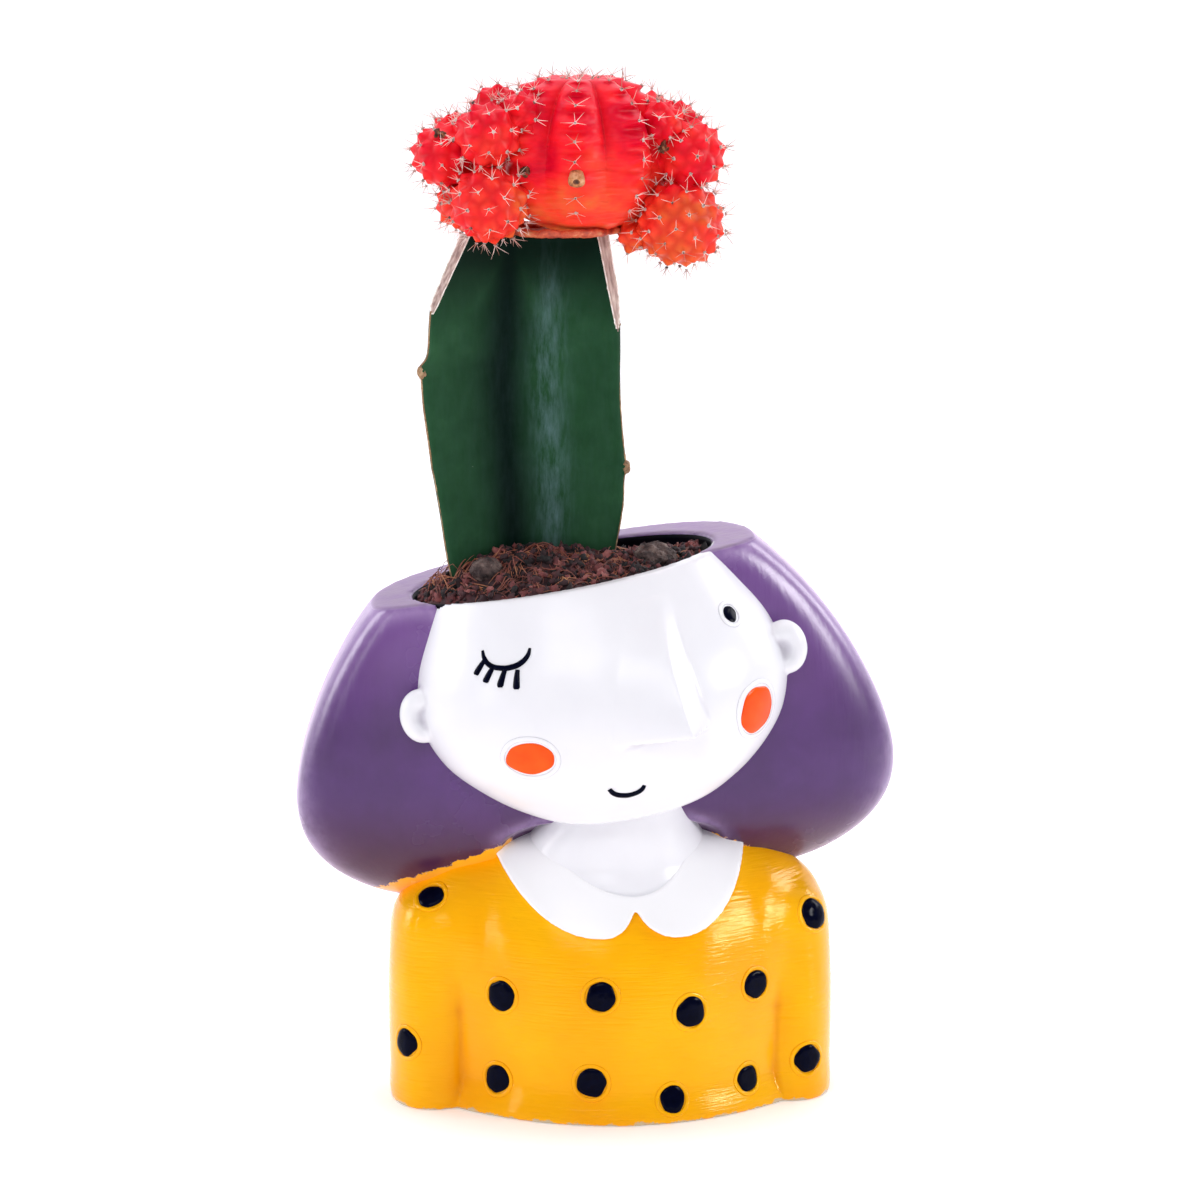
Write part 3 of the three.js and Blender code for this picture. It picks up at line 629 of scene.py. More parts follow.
# The nose, from brow to tip: ridge, left foot and right foot as u, height v, and how proud the ridge is.
NOSE = [
    (13, 8, 15, 18.5, 0.4), (12.6, 5.6, 15.4, 14, 1.5), (12.2, 2.6, 15.8, 8.5, 3),
    (12.6, 0.6, 16.4, 2.6, 4.8), (13.2, -0.8, 17.2, -2.6, 6.6), (13.8, -1.4, 18, -6.2, 7.8),
    (13.9, -1.4, 18, -7.3, 7.4),
]
NOSE_ROOT = 6


def head_point(u, y, v):
    """A point of the head's own upright frame, in millimetres, where it really is."""
    return Matrix.Rotation(HEAD_LEAN, 4, "Y") @ Vector((u, y, v)) + HEAD_AT


def nose(skin):
    """The blade of the nose: ribs from foot to ridge to foot, with a root that sinks into the face."""
    select_only()
    bpy.ops.mesh.primitive_grid_add(x_subdivisions=20, y_subdivisions=36, size=2)
    blade = bpy.context.object
    blade.name = blade.data.name = "nose"
    for vertex in blade.data.vertices:
        along = (1 - vertex.co.y) / 2
        ridge, left, right, v, proud = ring_at(NOSE, along)
        across = vertex.co.x
        if across < 0:
            u, lift = ridge + (ridge - left) * across, proud * (1 + across) ** 1.2
        else:
            u, lift = ridge + (right - ridge) * across, proud * (1 - across) ** 0.95
        flat = head_point(u, 0, v)
        point, _ = spot_on(skin, flat.x, flat.z)
        vertex.co = point - Vector((0, max(0, lift) * MM, 0))
    apply(blade, "SOLIDIFY", thickness=NOSE_ROOT * MM, offset=-1)
    return blade


def ear(side):
    """A disc with a rolled edge and a hollow a little inwards of its middle."""

    def place(turn, rise):
        angle = (rise - 0.5) * math.pi
        x, y, z = math.cos(angle) * math.cos(turn), math.cos(angle) * math.sin(turn), math.sin(angle)
        press = math.exp(-((x + side * 0.1) / 0.5) ** 2 - ((z + 0.02) / 0.46) ** 2) if y < 0 else 0
        return head_point(
            side * EAR["u"] + EAR["half"] * x,
            EAR["y"] + EAR["depth"] * (y + 0.85 * press),
            EAR["v"] + EAR["tall"] * z,
        )

    return sphere_form("ear", 72, 48, place)


def cavity(name, grow=0):
    """The hollow in the head, as a solid that reaches above the rim."""
    return ring_form(name, CAVITY_RINGS, ROUND, HEAD_AT, HEAD_LEAN, grow, around=96, up=60)


rim_up = Vector((math.sin(HEAD_LEAN), 0, math.cos(HEAD_LEAN)))
face = ring_form("face", FACE_RINGS, ROUND, HEAD_AT, HEAD_LEAN, around=160, up=88)
face_skin = skin_of(face)
combine(face, nose(face_skin), "UNION")
for side in (-1, 1):
    combine(face, ear(side), "UNION")
combine(face, cavity("hollow"), "DIFFERENCE")
cut_flat(face, head_point(0, 0, RIM_RISE - 0.15) * MM, rim_up)
cut_flat(face, (0, 0, 0), (0, 1, 0))
soften(face, grain=0.42, passes=4)
mark_hollows(face, passes=16)
dress(face, white_resin, "painted_resin", "bust_pot")


# ---- The hair ----
# A bob that flares to the shoulders, cast with the head and painted in satin purple. A soft ridge runs
# down each side from the rim. The paint is brushed, and paler along the rim, partly worn and partly
# painted light on its top.

HAIR_AT = Vector((-2.4, 0, 62.8))
HAIR_LEAN = -4.5 * DEG
HAIR_RINGS = [
    (0, 0, 0, -20, 10, 0), (28, 3.4, 15, -21.6, 9, 0), (42, 6.6, 24.4, -19.4, 7.2, 0),
    (52.4, 10.6, 30.6, -14, 5.6, 0), (58.6, 14, 34.6, -7, 4.8, 0), (60.6, 15, 36.2, 1, 4.4, 0),
    (59.2, 14.8, 36.5, 10, 4, 0), (56, 14.2, 36, 19, 3.4, 0), (51.2, 13.2, 34.8, 28.6, 2.4, 0),
    (44.4, 12.6, 33, 38.6, 1.2, 0), (35.8, 12, 30, 47.6, 0.2, 0.4), (27, 10, 22, 54, 0, 1),
    (0, 0, 0, 58, 2, 1.4),
]
HAIR_PLAN = ((0.82, 0.62), (0.8, 0.8))
# The hollow under the hair on both sides of the neck.
NAPE_RINGS = [
    (0, 0, 0, 41, -12, 0.8), (20, 10, 10, 44, -12, 0.8), (26, 13, 13, 50, -12, 0.8),
    (20, 10, 10, 56.4, -12, 0.8), (0, 0, 0, 59.2, -12, 0.8),
]
# The sweater's paint runs up on to the hair in front: height of its edge over the middle, and its fall.
BLEED_TOP = 62.5
BLEED_FALL = 0.42
BLEED_FROM = 20
# Heights between which the hair is painted dark red downwards, as a painted reflection of the sweater, and
# paler upwards, as painted highlight.
REFLECTION_STARTS, REFLECTION_FULL = 66, 48
HIGHLIGHT_STARTS, HIGHLIGHT_FULL = 74, 98

hair = ring_form("hair", HAIR_RINGS, HAIR_PLAN, HAIR_AT, HAIR_LEAN, around=192, up=96)
combine(hair, cavity("hollow"), "DIFFERENCE")
combine(hair, ring_form("nape", NAPE_RINGS, ROUND, around=96, up=48), "DIFFERENCE")
cut_flat(hair, head_point(0, 0, RIM_RISE) * MM, rim_up)
soften(hair, grain=0.62, passes=8)
mark_hollows(hair, passes=60)

# Acrylic in a satin varnish over resin: a soft sheen, mottled by the brush. The rim is paler, partly worn
# and partly painted light on its top. The ridges and the top of the hair are painted paler as painted
# highlight, and low down the hair is painted dark red as a painted reflection of the sweater. The brush ran
# from the top to the tips.
purple_paint, tree, place = new_material("purple_paint")
mottle = add(tree, "TexNoise", {
    "Vector": place, "Scale": cells(18.2), "Detail": 4, "Roughness": 0.6,
}).outputs["Fac"]
tint = add(tree, "ValToRGB", {"Fac": mottle}, [(0.3, "#3F1B56"), (0.7, "#50286E")])
rise = add(tree, "VectorMath", {0: place, 1: rim_up}, operation="DOT_PRODUCT").outputs["Value"]
rim = HEAD_AT.dot(rim_up) + RIM_RISE
streaks = add(tree, "TexNoise", {"Vector": place, "Scale": cells(3.33), "Detail": 4}).outputs["Fac"]
# The top of the rim is painted paler in streaks: partly worn paint, partly painted light.
top = add(tree, "MapRange", {
    "Value": rise, "From Min": (rim - 0.5) * MM, "From Max": (rim - 0.1) * MM,
}).outputs[0]
rub_and_sheen_streaks = add(tree, "MapRange", {"Value": streaks, "From Min": 0.3, "From Max": 0.62, "To Min": 0.4})
rim_wear_and_light = add(tree, "Math", {0: top, 1: rub_and_sheen_streaks.outputs[0]}, operation="MULTIPLY")
axes = add(tree, "SeparateXYZ", {"Vector": place}).outputs
# Low down the hair is painted dark red, as a painted reflection of the sweater.
painted_reflection = add(tree, "MapRange", {
    "Value": axes["Z"], "From Min": REFLECTION_STARTS * MM, "From Max": REFLECTION_FULL * MM, "To Max": 0.9,
}, interpolation_type="SMOOTHSTEP").outputs[0]
# Higher up the hair is painted paler, as painted highlight.
painted_highlight_top = add(tree, "MapRange", {
    "Value": axes["Z"], "From Min": HIGHLIGHT_STARTS * MM, "From Max": HIGHLIGHT_FULL * MM, "To Max": 0.55,
}, interpolation_type="SMOOTHSTEP").outputs[0]
lighter = add(tree, "Mix", {0: painted_highlight_top, 6: tint.outputs[0], 7: linear("#7E549A")}, data_type="RGBA")
warmed = add(tree, "Mix", {0: painted_reflection, 6: lighter.outputs[2], 7: linear("#3E0A2C")}, data_type="RGBA")
hollow = add(tree, "Attribute", attribute_name="hollow").outputs["Fac"]
# The ridges are painted paler in streaks, as painted highlight.
crest = add(tree, "MapRange", {
    "Value": hollow, "From Min": -0.25, "From Max": -0.9, "To Max": 0.6,
}, interpolation_type="SMOOTHSTEP").outputs[0]
painted_ridge_highlight = add(tree, "Math", {0: crest, 1: rub_and_sheen_streaks.outputs[0]}, operation="MULTIPLY").outputs[0]
pale = add(tree, "Mix", {0: painted_ridge_highlight, 6: warmed.outputs[2], 7: linear("#A88CBC")}, data_type="RGBA")
rim_worn_and_lit = add(tree, "Mix", {
    0: rim_wear_and_light.outputs[0], 6: pale.outputs[2], 7: linear("#7F6C84"),
}, data_type="RGBA")
aside = add(tree, "Math", {0: axes["X"]}, operation="ABSOLUTE")
edge = add(tree, "Math", {
    0: aside.outputs[0], 1: -BLEED_FALL, 2: BLEED_TOP * MM,
}, operation="MULTIPLY_ADD")
ragged = add(tree, "TexNoise", {
    "Vector": place, "Scale": cells(2.38), "Detail": 4, "Roughness": 0.7,
}).outputs["Fac"]
torn = add(tree, "Math", {0: ragged, 1: 4 * MM, 2: edge.outputs[0]}, operation="MULTIPLY_ADD")
under = add(tree, "Math", {0: torn.outputs[0], 1: axes["Z"]}, operation="SUBTRACT")
painted = add(tree, "MapRange", {
    "Value": under.outputs[0], "From Min": 2 * MM, "From Max": 2.2 * MM,
}).outputs[0]
in_front = add(tree, "MapRange", {"Value": axes["Y"], "From Min": 4 * MM, "From Max": 3 * MM}).outputs[0]
outside = add(tree, "MapRange", {
    "Value": aside.outputs[0], "From Min": BLEED_FROM * MM, "From Max": (BLEED_FROM + 0.4) * MM,
})
beside = add(tree, "Math", {0: in_front, 1: outside.outputs[0]}, operation="MULTIPLY").outputs[0]
bleed = add(tree, "Math", {0: painted, 1: beside}, operation="MULTIPLY").outputs[0]
coat = add(tree, "Mix", {0: bleed, 6: rim_worn_and_lit.outputs[2], 7: linear("#FFB40A")}, data_type="RGBA")
swept = add(tree, "Mapping", {"Vector": place, "Scale": (cells(1.111), cells(1.111), cells(7.69))})
strokes = add(tree, "TexNoise", {"Vector": swept.outputs[0], "Scale": 1, "Detail": 3}).outputs["Fac"]
brushed = add(tree, "Bump", {"Height": strokes, "Strength": 0.4, "Distance": 0.12 * MM})
thick = add(tree, "Bump", {
    "Height": bleed, "Strength": 0.7, "Distance": 0.3 * MM, "Normal": brushed.outputs[0],
})
rough = add(tree, "MapRange", {"Value": mottle, "To Min": 0.2, "To Max": 0.32}).outputs[0]
dulled = add(tree, "Math", {0: top, 1: 0.5, 2: rough}, operation="MULTIPLY_ADD")
finish_material(tree, {
    "Base Color": coat.outputs[2],
    "Roughness": dulled.outputs[0],
    "IOR": 1.48,
    "Sheen Weight": 1.0,
    "Sheen Roughness": 0.38,
    "Sheen Tint": linear("#E6D2F0"),
    "Normal": thick.outputs[0],
})
dress(hair, purple_paint, "hair_paint", "bust_pot")


# ---- The wall inside the head ----
# The hollow of the head, which holds the mix and the plant's roots. A thin shell just inside the casting
# lines it, drawn near-black with brown marks.

# The dark shell stands this far off the casting, and is this thick.
WALL_OFF, WALL_THICK = 0.14, 0.1

inner_wall = cavity("inner_wall", grow=-WALL_OFF)
cut_flat(inner_wall, head_point(0, 0, RIM_RISE - 0.5) * MM, rim_up)
bpy.ops.object.mode_set(mode="EDIT")
bpy.ops.mesh.select_all(action="DESELECT")
bpy.ops.object.mode_set(mode="OBJECT")
# The lid that the cut left is taken off.
for polygon in inner_wall.data.polygons:
    polygon.select = polygon.normal.dot(rim_up) > 0.9 and len(polygon.vertices) > 4
bpy.ops.object.mode_set(mode="EDIT")
bpy.ops.mesh.delete(type="FACE")
bpy.ops.object.mode_set(mode="OBJECT")
apply(inner_wall, "SOLIDIFY", thickness=WALL_THICK * MM, offset=-1)
bpy.ops.object.shade_smooth()

# Near-black and dull, with brown marks 5 mm across.
dark_lining, tree, place = new_material("dark_lining")
blotches = add(tree, "TexNoise", {
    "Vector": place, "Scale": cells(5.56), "Detail": 5, "Roughness": 0.65,
}).outputs["Fac"]
tint = add(tree, "ValToRGB", {"Fac": blotches}, [(0.42, "#020412"), (0.75, "#181018")])
grainy = add(tree, "Bump", {"Height": blotches, "Strength": 0.4, "Distance": 0.2 * MM})
finish_material(tree, {
    "Base Color": tint.outputs[0],
    "Roughness": 0.5,
    "IOR": 1.15,
    "Normal": grainy.outputs[0],
})
dress(inner_wall, dark_lining, "hair_paint", "bust_pot")


# ---- The painted cheeks, eyes and mouth ----
# The mould raised a low ring around each cheek and the open eye. The colour inside is a thick dab, and
# the shut eye with its four lashes and the mouth are single strokes of a small brush.

CHEEKS = [
    # u, v, half width, half height, tilt
    (-17.8, -7, 5, 3.3, 0),
    (28.3, -7.4, 4.9, 4.6, 24),
]
OPEN_EYE = {"u": 26.4, "v": 11.8, "half": 1.55, "tall": 1.8}
DAB_PROUD, DAB_EDGE = 0.3, 0.1
# How far out from the paint a raised ring runs, further above and below a cheek, and each ring's half
# width and how proud it is.
LIP_OUT, LIP_OUT_TALL = 0.75, 0.95
CHEEK_LIP, EYE_LIP = (0.5, 0.24), (0.45, 0.32)
# Strokes, as u, v and half width. The brush spreads each a little wider.
SPREAD = 1.18
SHUT_EYE = [(-23.2, 15.7, 0.26), (-23.1, 14, 0.42), (-22.3, 12.4, 0.46), (-20.2, 11.1, 0.46),
            (-18, 10.6, 0.5), (-15.8, 10.9, 0.5), (-14.2, 12, 0.4), (-13.5, 13.3, 0.24)]
LASHES = [
    [(-22.6, 12.5, 0.4), (-23.9, 11.4, 0.52), (-24.9, 10.5, 0.56), (-25.1, 10.2, 0.4)],
    [(-21.1, 11.4, 0.4), (-22.4, 10.1, 0.52), (-23.4, 9, 0.6), (-23.6, 8.7, 0.42)],
    [(-19.2, 10.7, 0.4), (-20.1, 9.2, 0.54), (-20.8, 7.9, 0.62), (-20.9, 7.5, 0.42)],
    [(-16.9, 10.5, 0.4), (-17.4, 8.8, 0.54), (-17.8, 7.2, 0.62), (-17.9, 6.8, 0.42)],
]
MOUTH = [(-3.6, -15.7, 0.4), (-2.8, -17, 0.52), (-0.9, -17.9, 0.56), (1, -17.9, 0.52), (2.6, -17.2, 0.48),
         (3.3, -16.2, 0.34)]


def lay_on_face(piece, u, v, tilt=0):
    """Lays a flat piece on the face at a spot of the head's frame, turned with the head or tilted in it."""
    flat = head_point(u, 0, v)
    spot, facing = spot_on(painted_skin, flat.x, flat.z)
    across = Matrix.Rotation(HEAD_LEAN - tilt * DEG, 3, "Y") @ Vector((1, 0, 0))
    lay_on(piece, painted_skin, spot, facing, across)


def new_line(name, roundness):
    """An empty curve whose knots give its half width in millimetres, with closed ends."""
    select_only()
    bpy.ops.curve.primitive_bezier_curve_add()
    line = bpy.context.object
    line.name = line.data.name = name
    line.data.splines.clear()
    line.data.dimensions = "3D"
    line.data.bevel_depth = MM
    line.data.bevel_resolution = roundness
    line.data.use_fill_caps = True
    return line


def stroke(name, points):
    """One stroke of a small brush on the face, through points given as u, v and half width."""
    line = new_line(name, 3)
    line.data.resolution_u = 6
    spline = line.data.splines.new("BEZIER")
    spline.bezier_points.add(len(points) - 1)
    for knot, (u, v, half) in zip(spline.bezier_points, points):
        knot.co = (u * MM, v * MM, 0)
        knot.radius = SPREAD * half
        knot.handle_left_type = knot.handle_right_type = "AUTO"
    bpy.ops.object.convert(target="MESH")
    piece = bpy.context.object
    centre = sum((Vector(p[:2]) for p in points), Vector((0, 0))) / len(points)
    for vertex in piece.data.vertices:
        lift = vertex.co.z / MM
        vertex.co = (vertex.co.x - centre.x * MM, vertex.co.y - centre.y * MM, (0.5 * lift + 0.04) * MM)
    lay_on_face(piece, *centre)
    return piece


painted_skin = skin_of(face)
cheek_dabs, face_lips = [], []
for number, (u, v, half, tall, tilt) in enumerate(CHEEKS):
    cheek = dab("cheek", half, tall, DAB_PROUD, DAB_EDGE, 20 + number, around=56)
    lay_on_face(cheek, u, v, tilt)
    cheek_dabs.append(cheek)
    ring = lip("ring", half + LIP_OUT, tall + LIP_OUT_TALL, *CHEEK_LIP, 40 + number)
    lay_on_face(ring, u, v, tilt)
    face_lips.append(ring)
pupil = dab("pupil", OPEN_EYE["half"], OPEN_EYE["tall"], DAB_PROUD, DAB_EDGE, 51)
lay_on_face(pupil, OPEN_EYE["u"], OPEN_EYE["v"])
ring = lip("ring", OPEN_EYE["half"] + LIP_OUT, OPEN_EYE["tall"] + LIP_OUT, *EYE_LIP, 52)
lay_on_face(ring, OPEN_EYE["u"], OPEN_EYE["v"])
face_lips.append(ring)
dark_dabs = [pupil, stroke("shut_eye", SHUT_EYE), stroke("mouth", MOUTH)]
dark_dabs += [stroke("lash", lash) for lash in LASHES]
cheeks = joined("cheeks", cheek_dabs)
face_rings = joined("face_rings", face_lips)
eyes_and_mouth = joined("eyes_and_mouth", dark_dabs)

# Enamel, orange: glossy and thick, with low waves 4 mm long where the brush lifted off.
orange_enamel, tree, place = new_material("orange_enamel")
waves = add(tree, "TexNoise", {"Vector": place, "Scale": cells(4.17), "Detail": 2}).outputs["Fac"]
tint = add(tree, "ValToRGB", {"Fac": waves}, [(0.3, "#F04A06"), (0.7, "#FA5A10")])
uneven = add(tree, "Bump", {"Height": waves, "Strength": 0.45, "Distance": 0.4 * MM})
finish_material(tree, {
    "Base Color": tint.outputs[0],
    "Roughness": 0.15,
    "IOR": 1.25,
    "Normal": uneven.outputs[0],
})
dress(cheeks, orange_enamel, "cheek_paint", "bust_pot")
dress(face_rings, white_resin, "painted_resin", "bust_pot")
dress(eyes_and_mouth, black_enamel, "dark_paint", "bust_pot")


# ---- The rootstock ----
# The green stem of a climbing cactus, three-winged, cut flat for the graft. Each wing's rim is a line of
# brown cork with an areole on it, and near the graft the wings are trimmed back with slanting cuts.

STEM_AT = Vector((-16.2, 5.5, 0))
WINGS = [207 * DEG, 333 * DEG, 90 * DEG]
# How thick a wing's rim is, how far its rounding reaches in, and how uneven the skin grew.
WING_EDGE = 2.4
WING_TIP = 0.7
RIPPLE = 0.35
# How far a flank's curve is drawn along the wing, and how thick the wing is there.
WAIST = 0.12
WING_ROOT = 4.2
# Shares of the way from one wing to the next: the valley's painted shade and the painted reflection beside
# it, each with its width.
VALLEY_AT, VALLEY_WIDE = 0.37, 0.17
SHEEN_AT, SHEEN_WIDE = 0.66, 0.09
# Heights between which the skin is painted dark under the scion, as painted shadow.
SHADOW_STARTS, SHADOW_FULL = 155, 172
# Height, how far each wing reaches from the core, and the core's x.
STEM_RINGS = [
    (84, 10.5, 9, 10, 1.5), (98, 15.6, 14.4, 14.4, 1), (108, 18.6, 17.6, 17, 0.6),
    (120, 20.2, 20.4, 18.4, 0.2), (126.5, 21, 21.2, 18.9, -0.2), (128.5, 21.4, 22.3, 19, -0.3),
    (131, 21.8, 21.4, 19.2, -0.3), (141, 23, 20.8, 19.8, -0.6), (147, 23.5, 20.5, 19, -0.6),
    (148.8, 24.1, 20.5, 18.8, -0.6), (151.4, 22.3, 20.3, 18.9, -0.4), (157, 22, 20.1, 19, -0.2),
    (163, 21.7, 19.9, 19.2, 0), (169, 21.4, 19.6, 19.2, 0.4), (174.8, 21, 19.4, 19.2, 0.8),
]
# The pale rim round a cut, and how near to a cut's plane a face counts as part of it, in metres.
CUT_RIM = 0.35
CLOSE = 1e-5
BEVELS = [
    # wing, height of the cut's foot, reach there, how far it leans in at the top, and how far it is turned
    (0, 160, 21.8, 7.4, 12 * DEG), (1, 157, 20.1, 3.6, -26 * DEG), (2, 161, 19.2, 6.5, 0),
]


def wing_way(wing):
    """The way that a wing points."""
    return Vector((math.cos(WINGS[wing]), math.sin(WINGS[wing]), 0))


def stem_outline(reach, sides=36, rim=8):
    """The stem's plan: round rims, and flanks that run in along the wings to a valley between them.
    Each point comes with its share of the way from one wing to the next."""
    points = []
    for wing in range(3):
        out, after = wing_way(wing), wing_way((wing + 1) % 3)
        across, next_across = Vector((-out.y, out.x, 0)), Vector((-after.y, after.x, 0))
        far = reach[(wing + 1) % 3]
        for step in range(rim):
            angle = math.pi * (step / rim - 0.5)
            side = across * (math.sin(angle) * WING_EDGE / 2)
            points.append((out * (reach[wing] - WING_TIP + WING_TIP * math.cos(angle)) + side, 0))
        knots = [
            out * (reach[wing] - WING_TIP) + across * (WING_EDGE / 2),
            out * (reach[wing] * WAIST) + across * (WING_ROOT / 2),
            after * (far * WAIST) - next_across * (WING_ROOT / 2),
            after * (far - WING_TIP) - next_across * (WING_EDGE / 2),
        ]
        for step in range(sides):
            t = step / sides
            points.append((sum((k * w for k, w in zip(knots, curve_weights(t))), Vector()), t))
    return points


def stem_form(name, grow=0, levels=150):
    """The stem before it is trimmed, with its valleys, for painted shade, and the painted reflection beside
    them as attributes.
    """
    outlines = []
    for level in range(levels - 1):
        z, *reach, x = ring_at(STEM_RINGS, level / (levels - 2))
        outlines.append((z, x, stem_outline([r + grow for r in reach])))
    count = len(outlines[0][2])
    shares = []

    def place(turn, rise):
        row = round(rise * levels)
        z, x, outline = outlines[max(0, min(row - 1, levels - 2))]
        p, share = outline[round(turn / (2 * math.pi) * count) % count]
        shares.append(share)
        if row in (0, levels):
            return STEM_AT + Vector((x, 0, z))
        ripple = RIPPLE * noise.noise(Vector((p.x * 0.12, p.y * 0.12, z * 0.05)))
        return STEM_AT + Vector((x, 0, z)) + p + p.normalized() * (grow + ripple)

    form = sphere_form(name, count, levels, place)
    mark(form, "valley", [math.exp(-(((t - VALLEY_AT) / VALLEY_WIDE) ** 2)) for t in shares])
    mark(form, "sheen", [math.exp(-(((t - SHEEN_AT) / SHEEN_WIDE) ** 2)) for t in shares])
    return form


def bevel_plane(wing, foot, reach, inward, turned):
    """Where the trimming cut of a wing lies, and which way it faces."""
    slope = math.atan2(inward, STEM_RINGS[-1][0] - foot)
    way = Matrix.Rotation(turned, 3, "Z") @ wing_way(wing)
    facing = way * math.cos(slope) + Vector((0, 0, math.sin(slope)))
    return (STEM_AT + wing_way(wing) * reach + Vector((0, 0, foot))) * MM, facing


def inset_cut(piece, at, facing, width):
    """Parts a rim from the face of a cut. The inner face then has material 1 and the rim material 2."""
    for polygon in piece.data.polygons:
        level = abs((polygon.center - at).dot(facing)) < 2 * CLOSE
        polygon.select = level and polygon.normal.dot(facing) > 0.98
        polygon.material_index = 2 if polygon.select else polygon.material_index
    bpy.ops.object.mode_set(mode="EDIT")
    bpy.ops.mesh.inset(thickness=width * MM, use_even_offset=False)
    bpy.ops.object.mode_set(mode="OBJECT")
    for polygon in piece.data.polygons:
        polygon.material_index = 1 if polygon.select else polygon.material_index


# Waxy cactus skin: dark green, painted nearly black in the valleys as painted shade and under the scion as
# painted shadow. A thin streaky blue-grey bloom lies on it, and beside each valley a streak of painted
# reflection that fades in the painted shadow; pale scratches mark it here and there. Its pores are drawn
# 1.1 mm apart, coarser than they are, to show.
stem_skin, tree, place = new_material("waxy_stem_skin")
pores = add(tree, "TexNoise", {"Vector": place, "Scale": cells(1.111), "Detail": 3}).outputs["Fac"]
broad = add(tree, "TexNoise", {
    "Vector": place, "Scale": cells(14.3), "Detail": 4, "Roughness": 0.6,
}).outputs["Fac"]
tint = add(tree, "ValToRGB", {"Fac": broad}, [(0.3, "#193C24"), (0.55, "#22482D"), (0.75, "#2E5638")])
valley = add(tree, "Attribute", attribute_name="valley").outputs["Fac"]
height = add(tree, "SeparateXYZ", {"Vector": place}).outputs["Z"]
# Under the scion the skin is painted dark, as painted shadow.
painted_shadow = add(tree, "MapRange", {
    "Value": height, "From Min": SHADOW_STARTS * MM, "From Max": SHADOW_FULL * MM, "To Max": 0.9,
}, interpolation_type="SMOOTHSTEP").outputs[0]
# The valleys are painted nearly black, as painted shade.
shade = add(tree, "Math", {0: valley, 1: 0.98}, operation="MULTIPLY").outputs[0]
darkest = add(tree, "Math", {0: shade, 1: painted_shadow}, operation="MAXIMUM").outputs[0]
sunk = add(tree, "Mix", {0: darkest, 6: tint.outputs[0], 7: linear("#00120D")}, data_type="RGBA")
drawn = add(tree, "Mapping", {"Vector": place, "Scale": (cells(1.429), cells(1.429), cells(6.67))})
rubs = add(tree, "TexNoise", {"Vector": drawn.outputs[0], "Scale": 1, "Detail": 5, "Roughness": 0.7})
thin = add(tree, "MapRange", {"Value": rubs.outputs["Fac"], "From Min": 0.36, "From Max": 0.8})
# Beside each valley a blue-grey painted reflection, over a thin bloom all over, both faded in the painted
# shadow.
sheen = add(tree, "Attribute", attribute_name="sheen").outputs["Fac"]
bloom_and_reflection = add(tree, "Math", {0: sheen, 1: 0.44, 2: 0.03}, operation="MULTIPLY_ADD").outputs[0]
streaked_bloom_and_reflection = add(tree, "Math", {0: thin.outputs[0], 1: bloom_and_reflection}, operation="MULTIPLY").outputs[0]
unshadowed = add(tree, "Math", {0: 1, 1: painted_shadow}, operation="SUBTRACT").outputs[0]
bloom_out_of_shadow = add(tree, "Math", {0: streaked_bloom_and_reflection, 1: unshadowed}, operation="MULTIPLY").outputs[0]
veiled = add(tree, "Mix", {0: bloom_out_of_shadow, 6: sunk.outputs[2], 7: linear("#7896A0")}, data_type="RGBA")
scratch = add(tree, "TexVoronoi", {"Vector": place, "Scale": cells(4.76)}, feature="F1").outputs["Distance"]
near = add(tree, "MapRange", {
    "Value": scratch, "From Min": 0.075, "From Max": 0.05, "To Max": 0.6,
}).outputs[0]
patch = add(tree, "TexNoise", {"Vector": place, "Scale": cells(7.14), "Detail": 2}).outputs["Fac"]
rare = add(tree, "MapRange", {"Value": patch, "From Min": 0.6, "From Max": 0.64}).outputs[0]
specks = add(tree, "Math", {0: near, 1: rare}, operation="MULTIPLY").outputs[0]
dusted = add(tree, "Mix", {0: specks, 6: veiled.outputs[2], 7: linear("#C9D3C8")}, data_type="RGBA")
pitted = add(tree, "Bump", {"Height": pores, "Strength": 0.3, "Distance": 0.1 * MM})
rough = add(tree, "MapRange", {"Value": broad, "To Min": 0.32, "To Max": 0.48}).outputs[0]
finish_material(tree, {
    "Base Color": dusted.outputs[2],
    "Roughness": rough,
    "IOR": 1.12,
    "Normal": pitted.outputs[0],
})
# Dried pith where the knife went: matt, tan to pink, in strands 0.7 mm wide that run down the cut.
dried_pith, tree, place = new_material("dried_pith")
drawn = add(tree, "Mapping", {"Vector": place, "Scale": (cells(0.7143), cells(0.7143), cells(6.25))})
grain = add(tree, "TexNoise", {"Vector": drawn.outputs[0], "Scale": 1, "Detail": 4}).outputs["Fac"]
tint = add(tree, "ValToRGB", {"Fac": grain}, [(0.3, "#8E746E"), (0.5, "#B59C93"), (0.75, "#DCCBC0")])
ridged = add(tree, "Bump", {"Height": grain, "Strength": 0.6, "Distance": 0.2 * MM})
finish_material(tree, {
    "Base Color": tint.outputs[0],
    "Roughness": 0.8,
    "Normal": ridged.outputs[0],
})
# The dried edge of the skin round a cut: a thin line, nearly white.
pale_rim, tree, place = new_material("dried_skin_edge")
grain = add(tree, "TexNoise", {"Vector": place, "Scale": cells(1.111), "Detail": 3}).outputs["Fac"]
tint = add(tree, "ValToRGB", {"Fac": grain}, [(0.35, "#C9B9A8"), (0.6, "#F4EEE8")])
finish_material(tree, {"Base Color": tint.outputs[0], "Roughness": 0.75})

stem = stem_form("stem")
dress(stem, stem_skin, "stem_skin", "grafted_stem")
stem.data.materials.append(dried_pith)
stem.data.materials.append(pale_rim)
for bevel in BEVELS:
    at, facing = bevel_plane(*bevel)
    cut_flat(stem, at, facing)
    inset_cut(stem, at, facing, CUT_RIM)
graft_level = Vector((0, 0, STEM_RINGS[-1][0] - 0.1)) * MM
cut_flat(stem, graft_level, Vector((0, 0, 1)))
for polygon in stem.data.polygons:
    if polygon.center.z > graft_level.z - CLOSE and polygon.normal.z > 0.98:
        polygon.material_index = 1
bpy.ops.object.shade_smooth_by_angle(angle=35 * DEG)

